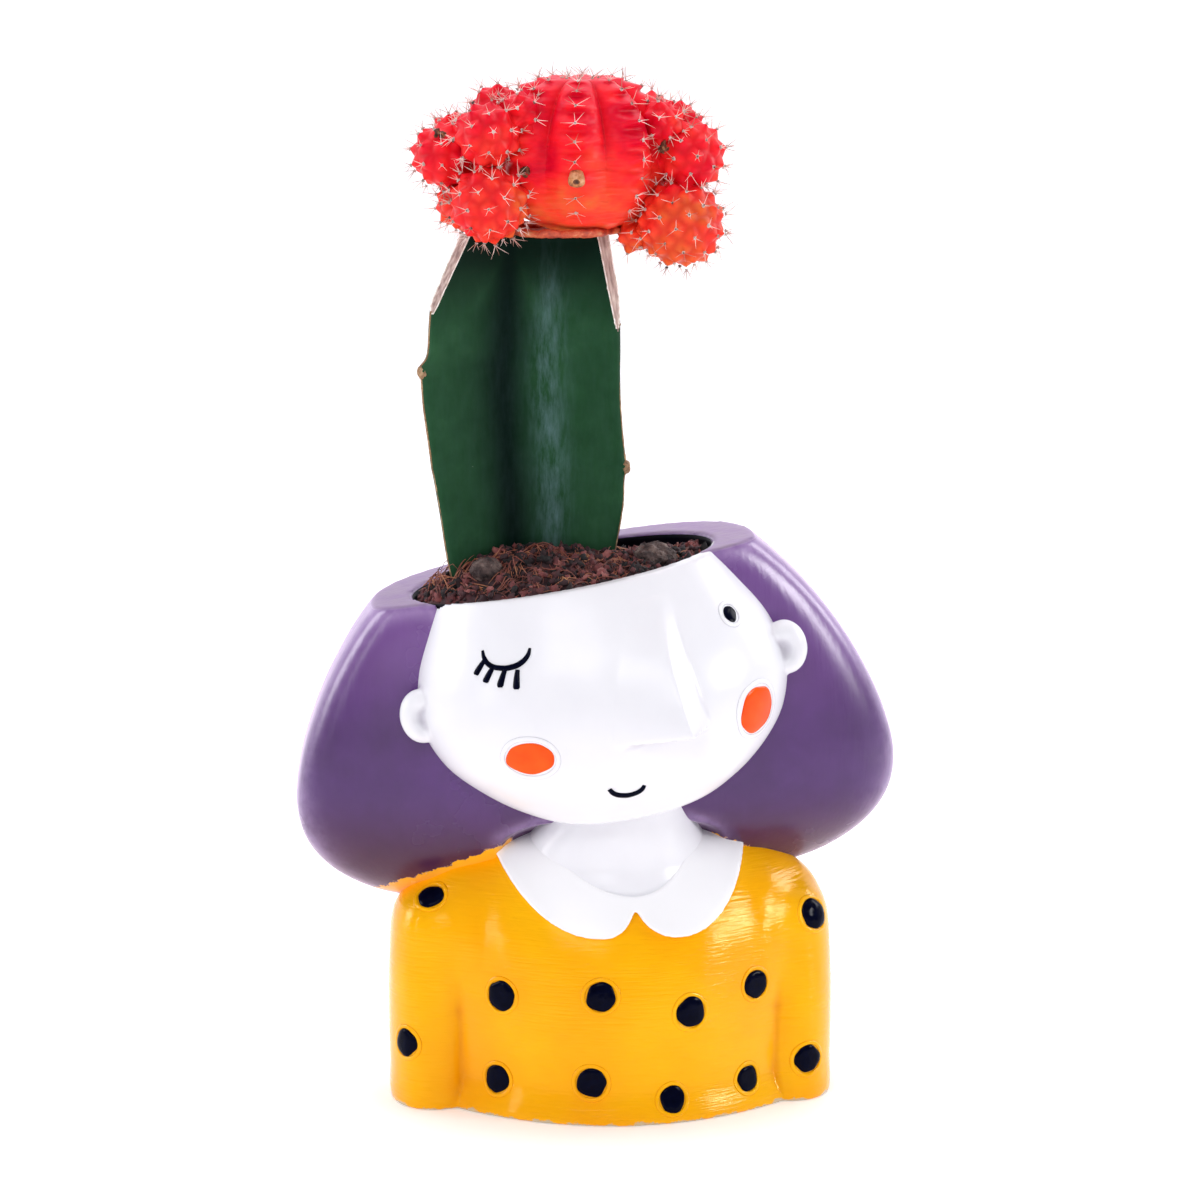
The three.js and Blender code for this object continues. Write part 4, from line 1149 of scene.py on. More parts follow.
# The cork along each rim, with its areoles: a thin uneven cord of brown bark and three round scars.
CORK_KNOTS = 140
CORK_FROM = 0.06
CORK_HALF, CORK_UNEVEN, CORK_SUNK = 0.24, 0.14, 0.12
CORK_SCARS = [
    # wing, height, reach from the core
    (0, 148.2, 24), (1, 128.6, 22.2), (2, 140, 19.9),
]
cork_lines = []
for wing, foot, *_ in BEVELS:
    spline = new_line("cork_line", 2).data.splines.new("POLY")
    spline.points.add(CORK_KNOTS - 1)
    for step, knot in enumerate(spline.points):
        z, *reach, x = ring_at(STEM_RINGS, CORK_FROM + step / (CORK_KNOTS - 1) * (1 - CORK_FROM))
        z = min(z, foot)
        p = STEM_AT + Vector((x, 0, z)) + wing_way(wing) * (reach[wing] - CORK_SUNK)
        knot.co = (*(p * MM), 1)
        knot.radius = CORK_HALF + CORK_UNEVEN * noise.noise(Vector((wing * 9, 0, z * 0.7)))
    bpy.ops.object.convert(target="MESH")
    cork_lines.append(bpy.context.object)
for number, (wing, z, reach) in enumerate(CORK_SCARS):
    select_only()
    bpy.ops.mesh.primitive_uv_sphere_add(segments=28, ring_count=18, radius=1)
    scar = bpy.context.object
    out = wing_way(wing)
    side = Vector((-out.y, out.x, 0))
    for vertex in scar.data.vertices:
        pit = math.exp(-(vertex.co.y / 0.35) ** 2 - (vertex.co.z / 0.35) ** 2) * (vertex.co.x > 0)
        lump = 1 + 0.22 * noise.noise(Vector(vertex.co) * 2.2 + Vector((number * 5, 0, 0)))
        reach_out = reach - 0.5 + 0.95 * vertex.co.x * lump - 0.4 * pit
        p = out * reach_out + side * (1.15 * vertex.co.y * lump)
        vertex.co = (STEM_AT + p + Vector((-0.4, 0, z + 1.35 * vertex.co.z * lump))) * MM
    cork_lines.append(scar)
cork = joined("cork", cork_lines)

# Cork: dry and matt, in flakes of 1.5 mm, from tan to dark brown.
bark, tree, place = new_material("brown_cork")
flakes = add(tree, "TexNoise", {
    "Vector": place, "Scale": cells(1.538), "Detail": 4, "Roughness": 0.7,
}).outputs["Fac"]
tint = add(tree, "ValToRGB", {"Fac": flakes}, [(0.3, "#5E4632"), (0.5, "#9C7A58"), (0.7, "#CDB08E")])
scaly = add(tree, "Bump", {"Height": flakes, "Strength": 0.7, "Distance": 0.3 * MM})
finish_material(tree, {
    "Base Color": tint.outputs[0],
    "Roughness": 0.85,
    "Normal": scaly.outputs[0],
})
dress(cork, bark, "stem_skin", "grafted_stem")


# ---- The potting mix ----
# Peat and chopped coir, heaped in front of the stem and fallen away towards the wall. Its surface is
# crumbs of every size, and curled fibres of coir lie on it and stick up at the edges.

WALL_GAP = 0.3
# The hollow's brim in the head's frame: its centre's u and y, its half width and its half depth.
BRIM = (-3.6, 2.4, 30.7, 22.6)
# Heights in the same frame: where the hollow's straight wall ends, and the underside of the mix.
WALL_FOOT, MIX_FOOT = -13, -16.6
# The mix stands so far below the rim and falls that much to the back. Its heap has a centre's u and y, a
# half width, a half depth and a height.
BELOW_RIM, FALL, LUMPS = 2.2, 1.6, 0.6
HEAP_U, HEAP_Y, HEAP_WIDE, HEAP_DEEP, HEAP_TALL = -14, -2.5, 24, 11, 8


def wall_at(v):
    """The centre, half width and depth of the hollow at a height in the head."""
    rise = v - WALL_FOOT
    return -0.4 - 0.089 * rise, 24 + 0.186 * rise - WALL_GAP, 17.6 + 0.139 * rise - WALL_GAP


def soil_height(u, y):
    """How high the mix stands, in the head's frame."""
    out = math.hypot((u - BRIM[0]) / BRIM[2], (y - BRIM[1]) / BRIM[3])
    heap = HEAP_TALL * math.exp(-(((u - HEAP_U) / HEAP_WIDE) ** 2) - ((y - HEAP_Y) / HEAP_DEEP) ** 2)
    lumps = math.sin(u * 0.9 + 1.3 * math.sin(y * 0.5)) * math.cos(y * 0.8 + 0.7 * math.sin(u * 0.4))
    level = RIM_RISE - BELOW_RIM - FALL * y / BRIM[3]
    return level + heap * max(0, 1 - out ** 6) + LUMPS * lumps


def mix_place(turn, rise):
    """The mix: its top from the middle to the wall, and its underside down the hollow."""
    c, s = math.cos(turn), math.sin(turn)
    edge = soil_height(BRIM[0] + BRIM[2] * c, BRIM[1] + BRIM[3] * s)
    if rise < 0.5:
        down = 1 - rise * 2
        v = edge + (MIX_FOOT - edge) * min(1, down / 0.85)
        x, half, deep = wall_at(max(v, WALL_FOOT))
        rounding = 0.17 * max(0, WALL_FOOT - v) / (WALL_FOOT - MIX_FOOT)
        pull = min(1, (1 - down) / 0.15) * (1 - rounding)
        return head_point(x + half * pull * c, BRIM[1] + deep * pull * s, v)
    out = (1 - rise) * 2
    x, half, deep = wall_at(edge)
    u, y = x + half * out * c, BRIM[1] + deep * out * s
    rubble = noise.fractal(Vector((u, y, 3)) * 0.7, 1, 2, 4) * 0.5
    return head_point(u, y, soil_height(u, y) + rubble * min(1, (1 - out) * 8))


mix = sphere_form("mix", 240, 150, mix_place)
combine(mix, stem_form("hole", grow=WALL_GAP, levels=60), "DIFFERENCE")
bpy.ops.object.shade_smooth()

# Peat and coir: matt, dark, in reds and browns that change from crumb to crumb. The mix between the
# laid crumbs is drawn as crumbs of 1.4 mm with grains of 0.7 mm, about the coarser half of the real ones.
peat, tree, place = new_material("peat_and_coir")
lumpy = add(tree, "TexVoronoi", {"Vector": place, "Scale": cells(1.429)}, feature="F1").outputs["Distance"]
grains = add(tree, "TexNoise", {"Vector": place, "Scale": cells(0.6667), "Detail": 3}).outputs["Fac"]
each = add(tree, "Attribute", attribute_name="tone").outputs["Fac"]
patches = add(tree, "TexNoise", {"Vector": place, "Scale": cells(6.25), "Detail": 2}).outputs["Fac"]
mixed = add(tree, "Math", {0: each, 1: 0.5}, operation="MULTIPLY")
summed = add(tree, "Math", {0: mixed.outputs[0], 1: patches}, operation="ADD")
tint = add(tree, "ValToRGB", {"Fac": summed.outputs[0]}, [
    (0.36, "#0E070C"), (0.56, "#3E2026"), (0.76, "#7E3E3E"), (0.95, "#B0706A"),
])
rubbly = add(tree, "Bump", {"Height": lumpy, "Strength": 0.8, "Distance": 0.6 * MM})
gritty = add(tree, "Bump", {
    "Height": grains, "Strength": 0.6, "Distance": 0.2 * MM, "Normal": rubbly.outputs[0],
})
finish_material(tree, {
    "Base Color": tint.outputs[0],
    "Roughness": 0.88,
    "Normal": gritty.outputs[0],
})
dress(mix, peat, "peat_and_coir", "potting_mix")

PUMICE = [
    # name, u, y, size, how proud it sits, seed
    ("pumice_lump_left", -19, -8.6, 2.9, 0.9, 3),
    ("pumice_lump_right", 14.6, -7.6, 3.9, -0.4, 8),
]


def in_stem(u, y, margin):
    """Whether a spot of the mix lies inside the stem, or nearer to it than a margin."""
    p = head_point(u, y, soil_height(u, y))
    z, *reach, x = min(STEM_RINGS, key=lambda r: abs(r[0] - p.z))
    p -= STEM_AT + Vector((x, 0, 0))
    turn = math.atan2(p.y, p.x) % (2 * math.pi)
    wing = min(range(3), key=lambda w: abs((turn - WINGS[w] + math.pi) % (2 * math.pi) - math.pi))
    out = wing_way(wing)
    along = p.x * out.x + p.y * out.y
    off = abs(p.x * out.y - p.y * out.x)
    return along < reach[wing] + margin and off < 1.2 + margin + 4.5 * max(0, 1 - along / reach[wing]) ** 1.5


def on_pumice(u, y, margin):
    """Whether a spot lies on one of the lumps of pumice."""
    return any(math.hypot(u - lump[1], y - lump[2]) < lump[3] + margin for lump in PUMICE)


def scattered(name, shapes, places, tones):
    """Many copies of a few small shapes in one piece: each place is a matrix, each tone a number."""
    verts, faces, tone = [], [], []
    for number, (matrix, value) in enumerate(zip(places, tones)):
        points, polygons = shapes[number % len(shapes)]
        first = len(verts)
        verts += [matrix @ p for p in points]
        faces += [[first + i for i in polygon] for polygon in polygons]
        tone += [value] * len(points)
    mesh = bpy.data.meshes.new(name)
    mesh.from_pydata(verts, [], faces)
    piece = bpy.data.objects.new(name, mesh)
    mark(piece, "tone", tone)
    bpy.context.collection.objects.link(piece)
    mesh.shade_smooth()
    return piece


def crumb_shape(seed, fine):
    """A lump a millimetre across, as its points and faces."""
    select_only()
    bpy.ops.mesh.primitive_ico_sphere_add(subdivisions=fine, radius=0.5 * MM)
    lump = bpy.context.object
    for vertex in lump.data.vertices:
        way = vertex.co.normalized()
        vertex.co *= 1 + 0.9 * noise.noise(way * 1.4 + Vector((seed * 4.1, 0, 0)))
    shape = [v.co.copy() for v in lump.data.vertices], [tuple(p.vertices) for p in lump.data.polygons]
    bpy.data.objects.remove(lump)
    return shape


CRUMBS, SMALLEST, LARGER = 2450, 0.5, 1.5
# How far out crumbs lie and fibres start, and the oval that fibres stay in: half width and half depth.
CRUMB_REACH, FIBRE_START, FIBRE_REACH = (29.4, 21.4), (28.6, 20.6), (29.6, 21.6)

chance = random.Random(11)
crumb_places, crumb_tones = [], []
while len(crumb_places) < CRUMBS:
    turn, out = chance.uniform(0, 2 * math.pi), math.sqrt(chance.random())
    u = BRIM[0] + CRUMB_REACH[0] * out * math.cos(turn)
    y = BRIM[1] + CRUMB_REACH[1] * out * math.sin(turn)
    if in_stem(u, y, 0.3) or on_pumice(u, y, 0):
        continue
    size = SMALLEST + LARGER * chance.random() ** 2.6
    tall = size * chance.uniform(0.5, 1)
    spin = Euler([chance.uniform(0, 6.28) for _ in range(3)]).to_matrix().to_4x4()
    stretch = Matrix.Diagonal((size * chance.uniform(0.7, 1.5), size, tall, 1))
    at = head_point(u, y, soil_height(u, y) + 0.1 * size + chance.uniform(-0.2, 0.35)) * MM
    crumb_places.append(Matrix.Translation(at) @ spin @ stretch)
    crumb_tones.append(chance.uniform(-0.5, 0.6))
crumbs = scattered("crumbs", [crumb_shape(k, 2) for k in range(6)], crumb_places, crumb_tones)
dress(crumbs, peat, "peat_and_coir", "potting_mix")

# Each fibre has seven knots, at which it is so thick for its own thickness. The first fifty stand up from
# the mix at its left end.
FIBRES, RAISED_FIBRES, RAISED = 900, 50, 1.6
FIBRE_TAPER = (0.6, 1, 1, 1, 0.9, 0.75, 0.45)
SPANS = len(FIBRE_TAPER) - 1
fibres = new_line("coir_fibres", 0)
laid = 0
while laid < FIBRES:
    raised = RAISED if laid < RAISED_FIBRES else 0
    turn = chance.gauss(math.pi * 1.05, 0.25) if raised else chance.uniform(0, 2 * math.pi)
    out = chance.uniform(0.75, 0.98) if raised else math.sqrt(chance.random())
    u = BRIM[0] + FIBRE_START[0] * out * math.cos(turn)
    y = BRIM[1] + FIBRE_START[1] * out * math.sin(turn)
    length, way = chance.uniform(2, 7), chance.uniform(0, 2 * math.pi)
    curl, arch = chance.uniform(-0.35, 0.35), chance.uniform(0.1, 0.9) * chance.random() + raised
    points = []
    for step in range(SPANS + 1):
        lift = arch * math.sin(math.pi * step / (1.5 * SPANS if raised else SPANS)) * length * 0.25
        points.append((u, y, soil_height(u, y) + 0.25 + lift))
        u, y, way = u + length / SPANS * math.cos(way), y + length / SPANS * math.sin(way), way + curl
    wide, deep = FIBRE_REACH
    inside = [math.hypot((p[0] - BRIM[0]) / wide, (p[1] - BRIM[1]) / deep) < 1 for p in points]
    if not all(inside) or any(in_stem(p[0], p[1], 0.2) or on_pumice(p[0], p[1], -0.6) for p in points):
        continue
    spline = fibres.data.splines.new("POLY")
    spline.points.add(SPANS)
    thick = chance.uniform(0.06, 0.14)
    for knot, p, share in zip(spline.points, points, FIBRE_TAPER):
        knot.co = (*(head_point(*p) * MM), 1)
        knot.radius = thick * share
    laid += 1
bpy.ops.object.convert(target="MESH")
fibres = bpy.context.object

# Coir: dry coconut fibre, foxy brown with a faint sheen along each strand.
coir, tree, place = new_material("coir")
shade = add(tree, "TexNoise", {"Vector": place, "Scale": cells(4.55), "Detail": 2}).outputs["Fac"]
tint = add(tree, "ValToRGB", {"Fac": shade}, [(0.32, "#481F1C"), (0.52, "#8C4A3A"), (0.72, "#C8875E")])
finish_material(tree, {"Base Color": tint.outputs[0], "Roughness": 0.6})
dress(fibres, coir, "peat_and_coir", "potting_mix")


# ---- The lumps of pumice ----
# Two pebbles of grey-brown pumice, which keeps a mix open, lie bedded in it. They broke from larger
# lumps, so they are flattened on some sides, and full of pits.


def rolls(seed):
    """Numbers from 0 to 1 that look random and are the same each time."""
    factor, prime = 16807, 2147483647
    while True:
        seed = seed * factor % prime
        yield seed / prime


# Pumice: frothy volcanic glass, matt, grey-brown, with peat dust caught in its pits of 0.9 mm.
pumice, tree, place = new_material("pumice")
pits = add(tree, "TexVoronoi", {"Vector": place, "Scale": cells(0.909)}, feature="F1").outputs["Distance"]
dust = add(tree, "TexNoise", {"Vector": place, "Scale": cells(2.38), "Detail": 4}).outputs["Fac"]
tint = add(tree, "ValToRGB", {"Fac": dust}, [(0.33, "#271B1D"), (0.52, "#564441"), (0.72, "#8C7870")])
pocked = add(tree, "Bump", {"Height": pits, "Strength": 0.9, "Distance": 0.5 * MM})
finish_material(tree, {
    "Base Color": tint.outputs[0],
    "Roughness": 0.92,
    "Normal": pocked.outputs[0],
})
FLATS = 9
for name, u, y, size, proud, seed in PUMICE:
    flats, roll = [], rolls(seed)
    for _ in range(FLATS):
        flats.append(Vector((next(roll) - 0.5, next(roll) - 0.5, next(roll) - 0.5)).normalized())
    select_only()
    bpy.ops.mesh.primitive_ico_sphere_add(subdivisions=6, radius=1)
    lump = bpy.context.object
    lump.name = lump.data.name = "stone_" + name.split("_")[-1]
    at = head_point(u, y, soil_height(u, y) + proud)
    for vertex in lump.data.vertices:
        way = vertex.co.normalized()
        flat = max(way.dot(f) for f in flats)
        rough = noise.fractal(way * 2.6 + Vector((seed, 0, 0)), 1, 2, 5)
        cell = noise.voronoi(way * 5 + Vector((seed, 0, 0)))[0][0]
        out = size * (1.06 - 0.2 * flat ** 3 + 0.13 * rough - 0.35 * max(0, 0.3 - cell))
        vertex.co = (at + Vector((way.x * 1.12, way.y * 0.95, way.z * 0.86)) * out) * MM
    bpy.ops.object.shade_smooth()
    dress(lump, pumice, "pumice", name)


# ---- The scion ----
# The red globe cactus that was grafted on the stem. It cannot make leaf green, so its flesh shows red
# and orange. Eight ribs carry woolly areoles with spines, and sixteen offsets crowd its sides.

SCION_AT = Vector((-5.6, 3, 190.4))
SCION_TURN = -98 * DEG
# The body is flat below, and stands this far above the stem's cut.
GRAFT_GAP = 0.3
SEAT = STEM_RINGS[-1][0] + GRAFT_GAP - SCION_AT.z
RIBS = 8
ROWS = 13
# The body's half width, its reach above and below its middle, and how deep the grooves between ribs are.
HALF, UP, DOWN = 17.8, 16, 15.6
GROOVE = 3.6
# Shares of the rise: where ribs start to sharpen and over how much, and how wide the crown's dip is.
SHARP_FROM, SHARP_OVER, CROWN_WIDE = 0.28, 0.4, 0.09
CROWN_DIP, FOLD = 1.5, 0.55
# An offset's ball as a share of its radius, and how far a tubercle stands off it: a length and a share.
BALL, TUBERCLE, TUBERCLE_SHARE = 0.93, 0.75, 0.06
# Heights between which the flesh turns from crimson to orange-red.
RED_ABOVE, ORANGE_BELOW = 205, 170
# How far apart the areoles of small and of larger offsets grow.
SMALL_SPACING, SPACING = 3.3, 3.9
OFFSETS = [
    # centre from the scion's, and radius
    (-19, -11, 4.6, 6.2), (-27, -4, 0, 6.2), (-18.8, -12.4, -8.6, 7.5), (-16, 6, 7, 5.6),
    (-24.6, 3, 2.6, 4.8), (-23.4, -2, -9.8, 4.8), (21.2, -4, -0.4, 6.8), (19.2, -7, -13.4, 8.4),
    (14, 5, 5, 6.2), (10.4, -3, -16, 3.2), (-13.4, 16.6, -4, 7.4), (4.6, 19.4, -1, 6.6),
    (17.6, 11.6, -6.4, 6.8), (19.5, 2, 4.6, 4.6), (15.4, -6, 6.2, 4.2), (-12, -9, 8.4, 4),
]


def body_point(turn, rise):
    """A point of the body: soft ribs that fade downwards, a swelling at each areole and fine folds."""
    angle = (rise - 0.5) * math.pi
    wide = math.cos(angle)
    crest = abs(math.cos(turn * RIBS / 2))
    fade = min(1, max(0, (rise - SHARP_FROM) / SHARP_OVER))
    fade = fade * fade * (3 - 2 * fade)
    groove = fade * (1 - crest ** 0.8) + (1 - fade) * (1 - crest * crest)
    dip = GROOVE * (0.35 + 0.65 * fade) * groove * wide
    bead = math.cos(2 * math.pi * (rise * ROWS - 0.5))
    swell = (0.3 + 0.85 * fade) * crest ** 3 * wide ** 0.5 * bead
    radius = max(0, HALF * wide ** 0.82 - dip + swell)
    crown = CROWN_DIP * math.exp(-(((1 - rise) / CROWN_WIDE) ** 2))
    z = DOWN * math.sin(angle) if angle < 0 else (UP - 0.4 * dip) * math.sin(angle) - crown
    fold = noise.noise(Vector((turn * 2.2, 0, z * 1.3))) + 0.6 * noise.noise(Vector((turn * 4, 5, z * 2.6)))
    radius += FOLD * fold * (1 - 0.6 * crest) * wide * (1.3 - fade)
    return Vector((radius * math.cos(turn), radius * math.sin(turn), max(z, SEAT)))


def areole_ways(count):
    """Directions spread evenly over a ball, in the spiral in which areoles grow."""
    ways = []
    for number in range(count):
        z = 1 - 2 * (number + 0.5) / count
        turn = number * math.pi * (3 - math.sqrt(5))
        flat = math.sqrt(1 - z * z)
        ways.append(Vector((flat * math.cos(turn), flat * math.sin(turn), z)))
    return ways


def pup_form(centre, radius, ways, tilt):
    """An offset: a ball of blunt tubercles, each with an areole on its tip and creases round its foot."""
    tips = KDTree(len(ways))
    for number, way in enumerate(ways):
        tips.insert(way, number)
    tips.balance()
    crests = []

    def place(turn, rise):
        angle = (rise - 0.5) * math.pi
        flat = math.cos(angle)
        way = Vector((flat * math.cos(turn), flat * math.sin(turn), math.sin(angle)))
        near, far = (found[2] for found in tips.find_n(way, 2))
        pointed = ((far - near) / (far + near)) ** 1.25
        crests.append(pointed)
        sway = 0.4 * noise.noise(way * 2 + centre)
        proud = (TUBERCLE + TUBERCLE_SHARE * radius) * pointed
        return centre + tilt @ way * (radius * BALL + sway + proud)

    form = sphere_form("pup", 84, 58, place)
    mark(form, "crest", crests)
    return form


upright = Quaternion((0, 0, 1), SCION_TURN)
scion = sphere_form("scion", 320, 200, lambda turn, rise: upright @ body_point(turn, rise) + SCION_AT)
crests = []
for vertex in scion.data.vertices:
    p = upright.inverted() @ (vertex.co / MM - SCION_AT)
    crests.append(max(abs(math.cos(math.atan2(p.y, p.x) * RIBS / 2)), 0.3 - p.z / 20))
mark(scion, "crest", crests)
# Each areole: where it is, which way it faces, and the centre of the ball that it grows on.
areoles = []
for rib in range(RIBS):
    for row in range(2, ROWS):
        local = body_point(rib * 2 * math.pi / RIBS, (row + 0.5) / ROWS)
        areoles.append((upright @ local + SCION_AT, upright @ local.normalized(), SCION_AT))
balls, pups = [], []
for x, y, z, radius in OFFSETS:
    centre = Vector((x, y, z)) + SCION_AT
    out = (centre - SCION_AT).normalized()
    tilt = Vector((0, 0, 1)).rotation_difference((out + Vector((0, 0, 0.5))).normalized())
    spacing = SMALL_SPACING if radius < 5 else SPACING
    ways = areole_ways(round(4 * math.pi * radius * radius / (spacing * spacing * 0.87)))
    pups.append(pup_form(centre, radius, ways, tilt))
    tip = radius * (BALL + TUBERCLE_SHARE) + TUBERCLE
    areoles += [(centre + tilt @ way * tip, tilt @ way, centre) for way in ways]
    balls.append((centre, radius))
offsets = joined("offsets", pups)
select_only(scion)
bpy.ops.object.shade_smooth()

# Cactus flesh without leaf green: soft, moist and faintly translucent, crimson above and orange-red low
# down, with orange patches where the sun has faded it and a deeper red in the creases.
scion_flesh, tree, place = new_material("scion_flesh")
height = add(tree, "SeparateXYZ", {"Vector": place}).outputs["Z"]
low = add(tree, "MapRange", {
    "Value": height, "From Min": RED_ABOVE * MM, "From Max": ORANGE_BELOW * MM,
}).outputs[0]
crest = add(tree, "Attribute", attribute_name="crest").outputs["Fac"]
blotch = add(tree, "TexNoise", {"Vector": place, "Scale": cells(8.33), "Detail": 3}).outputs["Fac"]
fine = add(tree, "TexNoise", {"Vector": place, "Scale": cells(1.429), "Detail": 3}).outputs["Fac"]
drift = add(tree, "Math", {0: blotch, 1: 1.7, 2: -0.9}, operation="MULTIPLY_ADD")
lowness = add(tree, "Math", {0: low, 1: drift.outputs[0]}, operation="ADD")
tint = add(tree, "ValToRGB", {"Fac": lowness.outputs[0]}, [
    (0.02, "#D8082A"), (0.32, "#F41E2C"), (0.72, "#F4422C"), (1.0, "#E4602E"),
])
sunk = add(tree, "MapRange", {"Value": crest, "From Min": 0.0, "From Max": 0.45, "To Min": 0.5, "To Max": 0})
deep = add(tree, "Mix", {
    0: sunk.outputs[0], 6: tint.outputs[0], 7: linear("#C80A18"),
}, data_type="RGBA")
wrinkled = add(tree, "Bump", {"Height": fine, "Strength": 0.4, "Distance": 0.2 * MM})
finish_material(tree, {
    "Base Color": deep.outputs[2],
    "Roughness": 0.38,
    "IOR": 1.2,
    "Subsurface Weight": 0.25,
    "Subsurface Radius": (1.0, 0.2, 0.1),
    "Subsurface Scale": 1.8 * MM,
    "Normal": wrinkled.outputs[0],
})
dress(scion, scion_flesh, "scion_skin", "scion_with_offsets")
dress(offsets, scion_flesh, "scion_skin", "scion_with_offsets")


# ---- The callus, the scar and the dried rests ----
# Where the scion has grown on to the stem runs a lumpy ring of flesh-red callus. A corky scar with a dark
# pit marks the body's front, and dead flowers have dried to brown crumbs between the offsets.

CALLUS_AT = (-9, 2.6, 175.4)
CALLUS_REACH, CALLUS_WIDE, CALLUS_FLAT = 10.6, 0.9, 0.86
SCAR = (-7.8, 186.4)
# Half width, half height, then the rim's width and how proud it is, or how proud the pit's dab is and how
# uneven its edge.
SCAR_RIM = (1.15, 1.02, 0.5, 0.44)
SCAR_PIT = (0.72, 0.6, 0.12, 0.3)
RESTS = [(-34, 195), (-17.4, 187.8), (10.2, 192)]
REST_SIZES = (1.5, 1.2, 0.9, 0.8)

select_only()
bpy.ops.mesh.primitive_torus_add(major_radius=1, minor_radius=0.5, major_segments=180, minor_segments=12)
callus = bpy.context.object
callus.name = callus.data.name = "callus"
for vertex in callus.data.vertices:
    turn = math.atan2(vertex.co.y, vertex.co.x)
    out = (vertex.co.xy.length - 1) * 2
    lump = noise.fractal(Vector((math.cos(turn) * 5, math.sin(turn) * 5, vertex.co.z)), 1, 2, 4)
    sway = 1.6 * noise.noise(Vector((math.cos(turn) * 2, math.sin(turn) * 2, 3)))
    reach = CALLUS_REACH + sway + 0.6 * lump
    vertex.co = (
        (CALLUS_AT[0] + (reach + out * CALLUS_WIDE) * math.cos(turn)) * MM,
        (CALLUS_AT[1] + (reach * CALLUS_FLAT + out * CALLUS_WIDE) * math.sin(turn)) * MM,
        (CALLUS_AT[2] + (vertex.co.z * 2 + 0.4 * lump) * 0.8) * MM,
    )
bpy.ops.object.shade_smooth()

body_skin = skin_of(scion)
flesh_skin = BVHTree.FromPolygons(
    [v.co for v in scion.data.vertices] + [v.co for v in offsets.data.vertices],
    [p.vertices for p in scion.data.polygons]
    + [[k + len(scion.data.vertices) for k in p.vertices] for p in offsets.data.polygons],
)
spot, facing = spot_on(body_skin, *SCAR)
scar = lip("scar", *SCAR_RIM, 60)
lay_on(scar, body_skin, spot, facing, Vector((1, 0, 0)))
bpy.ops.object.shade_smooth()
pit = dab("scar_pit", *SCAR_PIT, 61)
lay_on(pit, body_skin, spot, facing, Vector((1, 0, 0)))
bpy.ops.object.shade_smooth()
rest_places = []
for number, (x, z) in enumerate(RESTS):
    spot, _ = spot_on(flesh_skin, x, z)
    for k, size in enumerate(REST_SIZES):
        shift = Vector((math.cos(k * 1.9 + number), -0.2, math.sin(k * 1.9 + number))) * (0.65 * MM)
        spin = Euler((number, k * 2, number + k)).to_matrix().to_4x4()
        shape = Matrix.Diagonal((size, size, size * 0.6, 1))
        rest_places.append(Matrix.Translation(spot + shift) @ spin @ shape)
rest_shapes = [crumb_shape(k + 70, 3) for k in range(5)]
rests = scattered("dried_flowers", rest_shapes, rest_places, [0] * len(rest_places))

# Corky scar tissue: dry and rough, with cracks 2 mm apart, tan to rust brown.
scar_cork, tree, place = new_material("scar_cork")
grain = add(tree, "TexNoise", {
    "Vector": place, "Scale": cells(2), "Detail": 4, "Roughness": 0.7,
}).outputs["Fac"]
tint = add(tree, "ValToRGB", {"Fac": grain}, [(0.35, "#6E3A22"), (0.5, "#C4804E"), (0.7, "#E8B48A")])
cracked = add(tree, "Bump", {"Height": grain, "Strength": 0.7, "Distance": 0.3 * MM})
finish_material(tree, {"Base Color": tint.outputs[0], "Roughness": 0.75, "Normal": cracked.outputs[0]})
dress(scar, scar_cork, "scion_skin", "scion_with_offsets")
# Young callus: moist and flesh-red, tan where it has dried.
young_callus, tree, place = new_material("young_callus")
grain = add(tree, "TexNoise", {
    "Vector": place, "Scale": cells(3.85), "Detail": 4, "Roughness": 0.7,
}).outputs["Fac"]
tint = add(tree, "ValToRGB", {"Fac": grain}, [(0.35, "#8A2A20"), (0.52, "#C8502E"), (0.68, "#D89464")])
cracked = add(tree, "Bump", {"Height": grain, "Strength": 0.6, "Distance": 0.3 * MM})
finish_material(tree, {"Base Color": tint.outputs[0], "Roughness": 0.6, "Normal": cracked.outputs[0]})
dress(callus, young_callus, "scion_skin", "scion_with_offsets")
# Dead flowers: papery, dark brown to rust.
dead_flower, tree, place = new_material("dried_flower")
grain = add(tree, "TexNoise", {"Vector": place, "Scale": cells(1.111), "Detail": 4}).outputs["Fac"]
tint = add(tree, "ValToRGB", {"Fac": grain}, [(0.35, "#32190F"), (0.55, "#74442C"), (0.75, "#BC8656")])
finish_material(tree, {"Base Color": tint.outputs[0], "Roughness": 0.85})
dress(rests, dead_flower, "scion_skin", "scion_with_offsets")
dress(pit, dead_flower, "scion_skin", "scion_with_offsets")


# ---- The wool and the spines ----
# Each areole is a small cushion of grey wool, and from it spread three to six stiff pale spines with
# brown tips. They sit on the tips of the swellings.

# Half the thickness of a spine at its root, and its share at each knot: how far along, and how thick.
SPINE_HALF = 0.066
SPINE_TAPER = [(0, 1), (0.35, 0.85), (0.7, 0.6), (1, 0.18)]
# For the body and for an offset: numbers of spines, how far they spread, and their lengths.
BODY_SPINES = ((4, 5, 5, 6), (0.9, 1.9), (1.8, 3.6))
OFFSET_SPINES = ((3, 4, 5, 5), (0.4, 1.5), (1.4, 3.3))
PITTED_SHARE = 0.45
LOWEST_AREOLE = 178
SCAR_CLEAR = (2.4, 1.6)

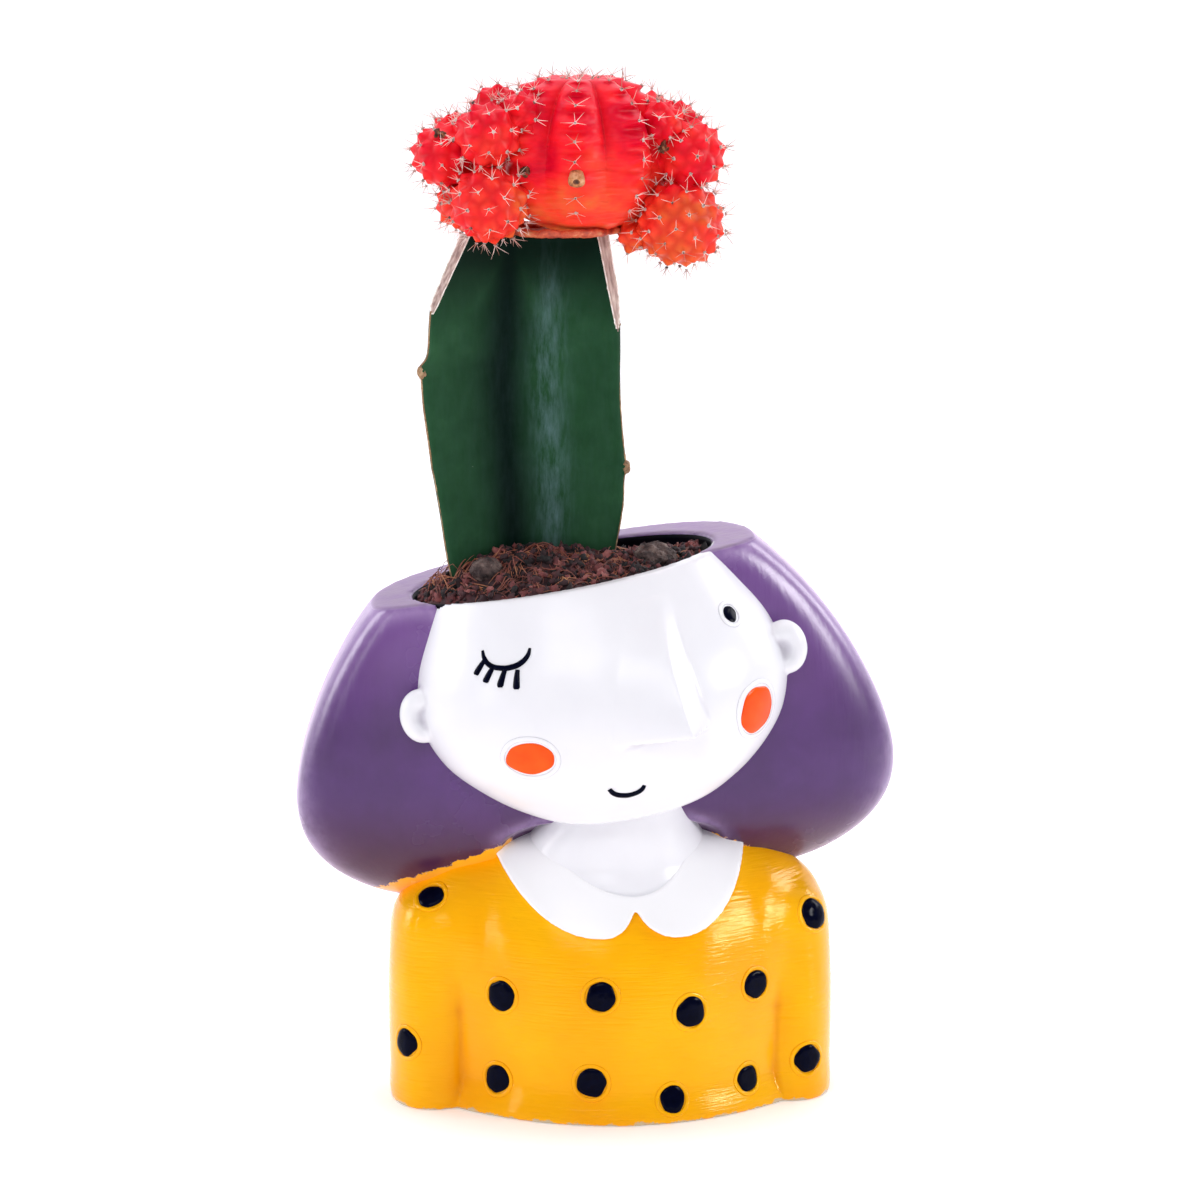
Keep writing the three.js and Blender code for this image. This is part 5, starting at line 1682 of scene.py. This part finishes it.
# Areoles inside the body, inside another offset, under the scar or low on the body are left out.
free_areoles = []
for at, way, centre in areoles:
    on_body = centre is SCION_AT
    in_body = not on_body and (at - SCION_AT).length < HALF - 1
    in_pup = any(c != centre and (at - c).length < r * 0.98 for c, r in balls)
    near_scar = abs(at.x - SCAR[0]) < SCAR_CLEAR[0] and abs(at.z - SCAR[1]) < SCAR_CLEAR[1]
    scarred = on_body and near_scar and at.y < 0
    if not (in_body or in_pup or scarred) and (at.z > LOWEST_AREOLE or not on_body):
        free_areoles.append((at, way, on_body))

chance = random.Random(5)
tuft_places, tuft_tones = [], []
spines = new_line("spines", 0)
for at, way, on_body in free_areoles:
    side = way.cross(Vector((0.1, 0.2, 1))).normalized()
    up = side.cross(way).normalized()
    turned = Matrix((side, up, way)).transposed().to_4x4()
    size = chance.uniform(0.5, 0.72)
    flat = Matrix.Diagonal((size, size * 1.1, size * 0.6, 1))
    tuft_places.append(Matrix.Translation((at + way * 0.08) * MM) @ turned @ flat)
    tuft_tones.append(chance.random())
    # Nearly half of the areoles have a dark pit in the middle of their wool.
    if chance.random() < PITTED_SHARE:
        small = Matrix.Diagonal((size * 0.5, size * 0.55, size * 0.5, 1))
        tuft_places.append(Matrix.Translation((at + way * 0.24) * MM) @ turned @ small)
        tuft_tones.append(1)
    counts, spreads, lengths = BODY_SPINES if on_body else OFFSET_SPINES
    first = chance.uniform(0, 2 * math.pi)
    count = chance.choice(counts)
    for number in range(count):
        turn = first + 2 * math.pi * number / count + chance.uniform(-0.4, 0.4)
        spread = chance.uniform(*spreads)
        aim = (way + (side * math.cos(turn) + up * math.sin(turn) * 0.8) * spread).normalized()
        length = chance.uniform(*lengths)
        bow = (way * 0.12 * length) * chance.uniform(-0.6, 1)
        spline = spines.data.splines.new("POLY")
        spline.points.add(len(SPINE_TAPER) - 1)
        root = at + way * 0.1
        for knot, (share, thick) in zip(spline.points, SPINE_TAPER):
            p = root + aim * length * share + bow * math.sin(math.pi * share) * 0.5
            knot.co = (*(p * MM), 1)
            knot.radius = SPINE_HALF * thick
bpy.ops.object.convert(target="MESH")
spines = bpy.context.object
tufts = scattered("tufts", [crumb_shape(k + 30, 2) for k in range(4)], tuft_places, tuft_tones)

# Wool of an areole: felted, matt and greyish white, yellowed in places, and nearly black in a pit. Its
# felt is drawn 0.3 mm coarse, far coarser than the hairs, to show.
wool, tree, place = new_material("areole_wool")
each = add(tree, "Attribute", attribute_name="tone").outputs["Fac"]
tint = add(tree, "ValToRGB", {"Fac": each}, [
    (0.1, "#B09C92"), (0.6, "#D8C8C0"), (0.97, "#9C8478"), (1, "#231613"),
])
felt = add(tree, "TexNoise", {"Vector": place, "Scale": cells(0.3333), "Detail": 2}).outputs["Fac"]
fuzzy = add(tree, "Bump", {"Height": felt, "Strength": 0.9, "Distance": 0.3 * MM})
finish_material(tree, {
    "Base Color": tint.outputs[0],
    "Roughness": 0.95,
    "Sheen Weight": 0.4,
    "Normal": fuzzy.outputs[0],
})
dress(tufts, wool, "spines", "scion_with_offsets")
# Spines: dry horn, cream to pale pink, browner here and there.
horn, tree, place = new_material("spine_horn")
shade = add(tree, "TexNoise", {"Vector": place, "Scale": cells(3.85), "Detail": 1}).outputs["Fac"]
tint = add(tree, "ValToRGB", {"Fac": shade}, [(0.36, "#A9735E"), (0.48, "#EBC9BC"), (0.7, "#FBEDE6")])
finish_material(tree, {"Base Color": tint.outputs[0], "Roughness": 0.45})
dress(spines, horn, "spines", "scion_with_offsets")
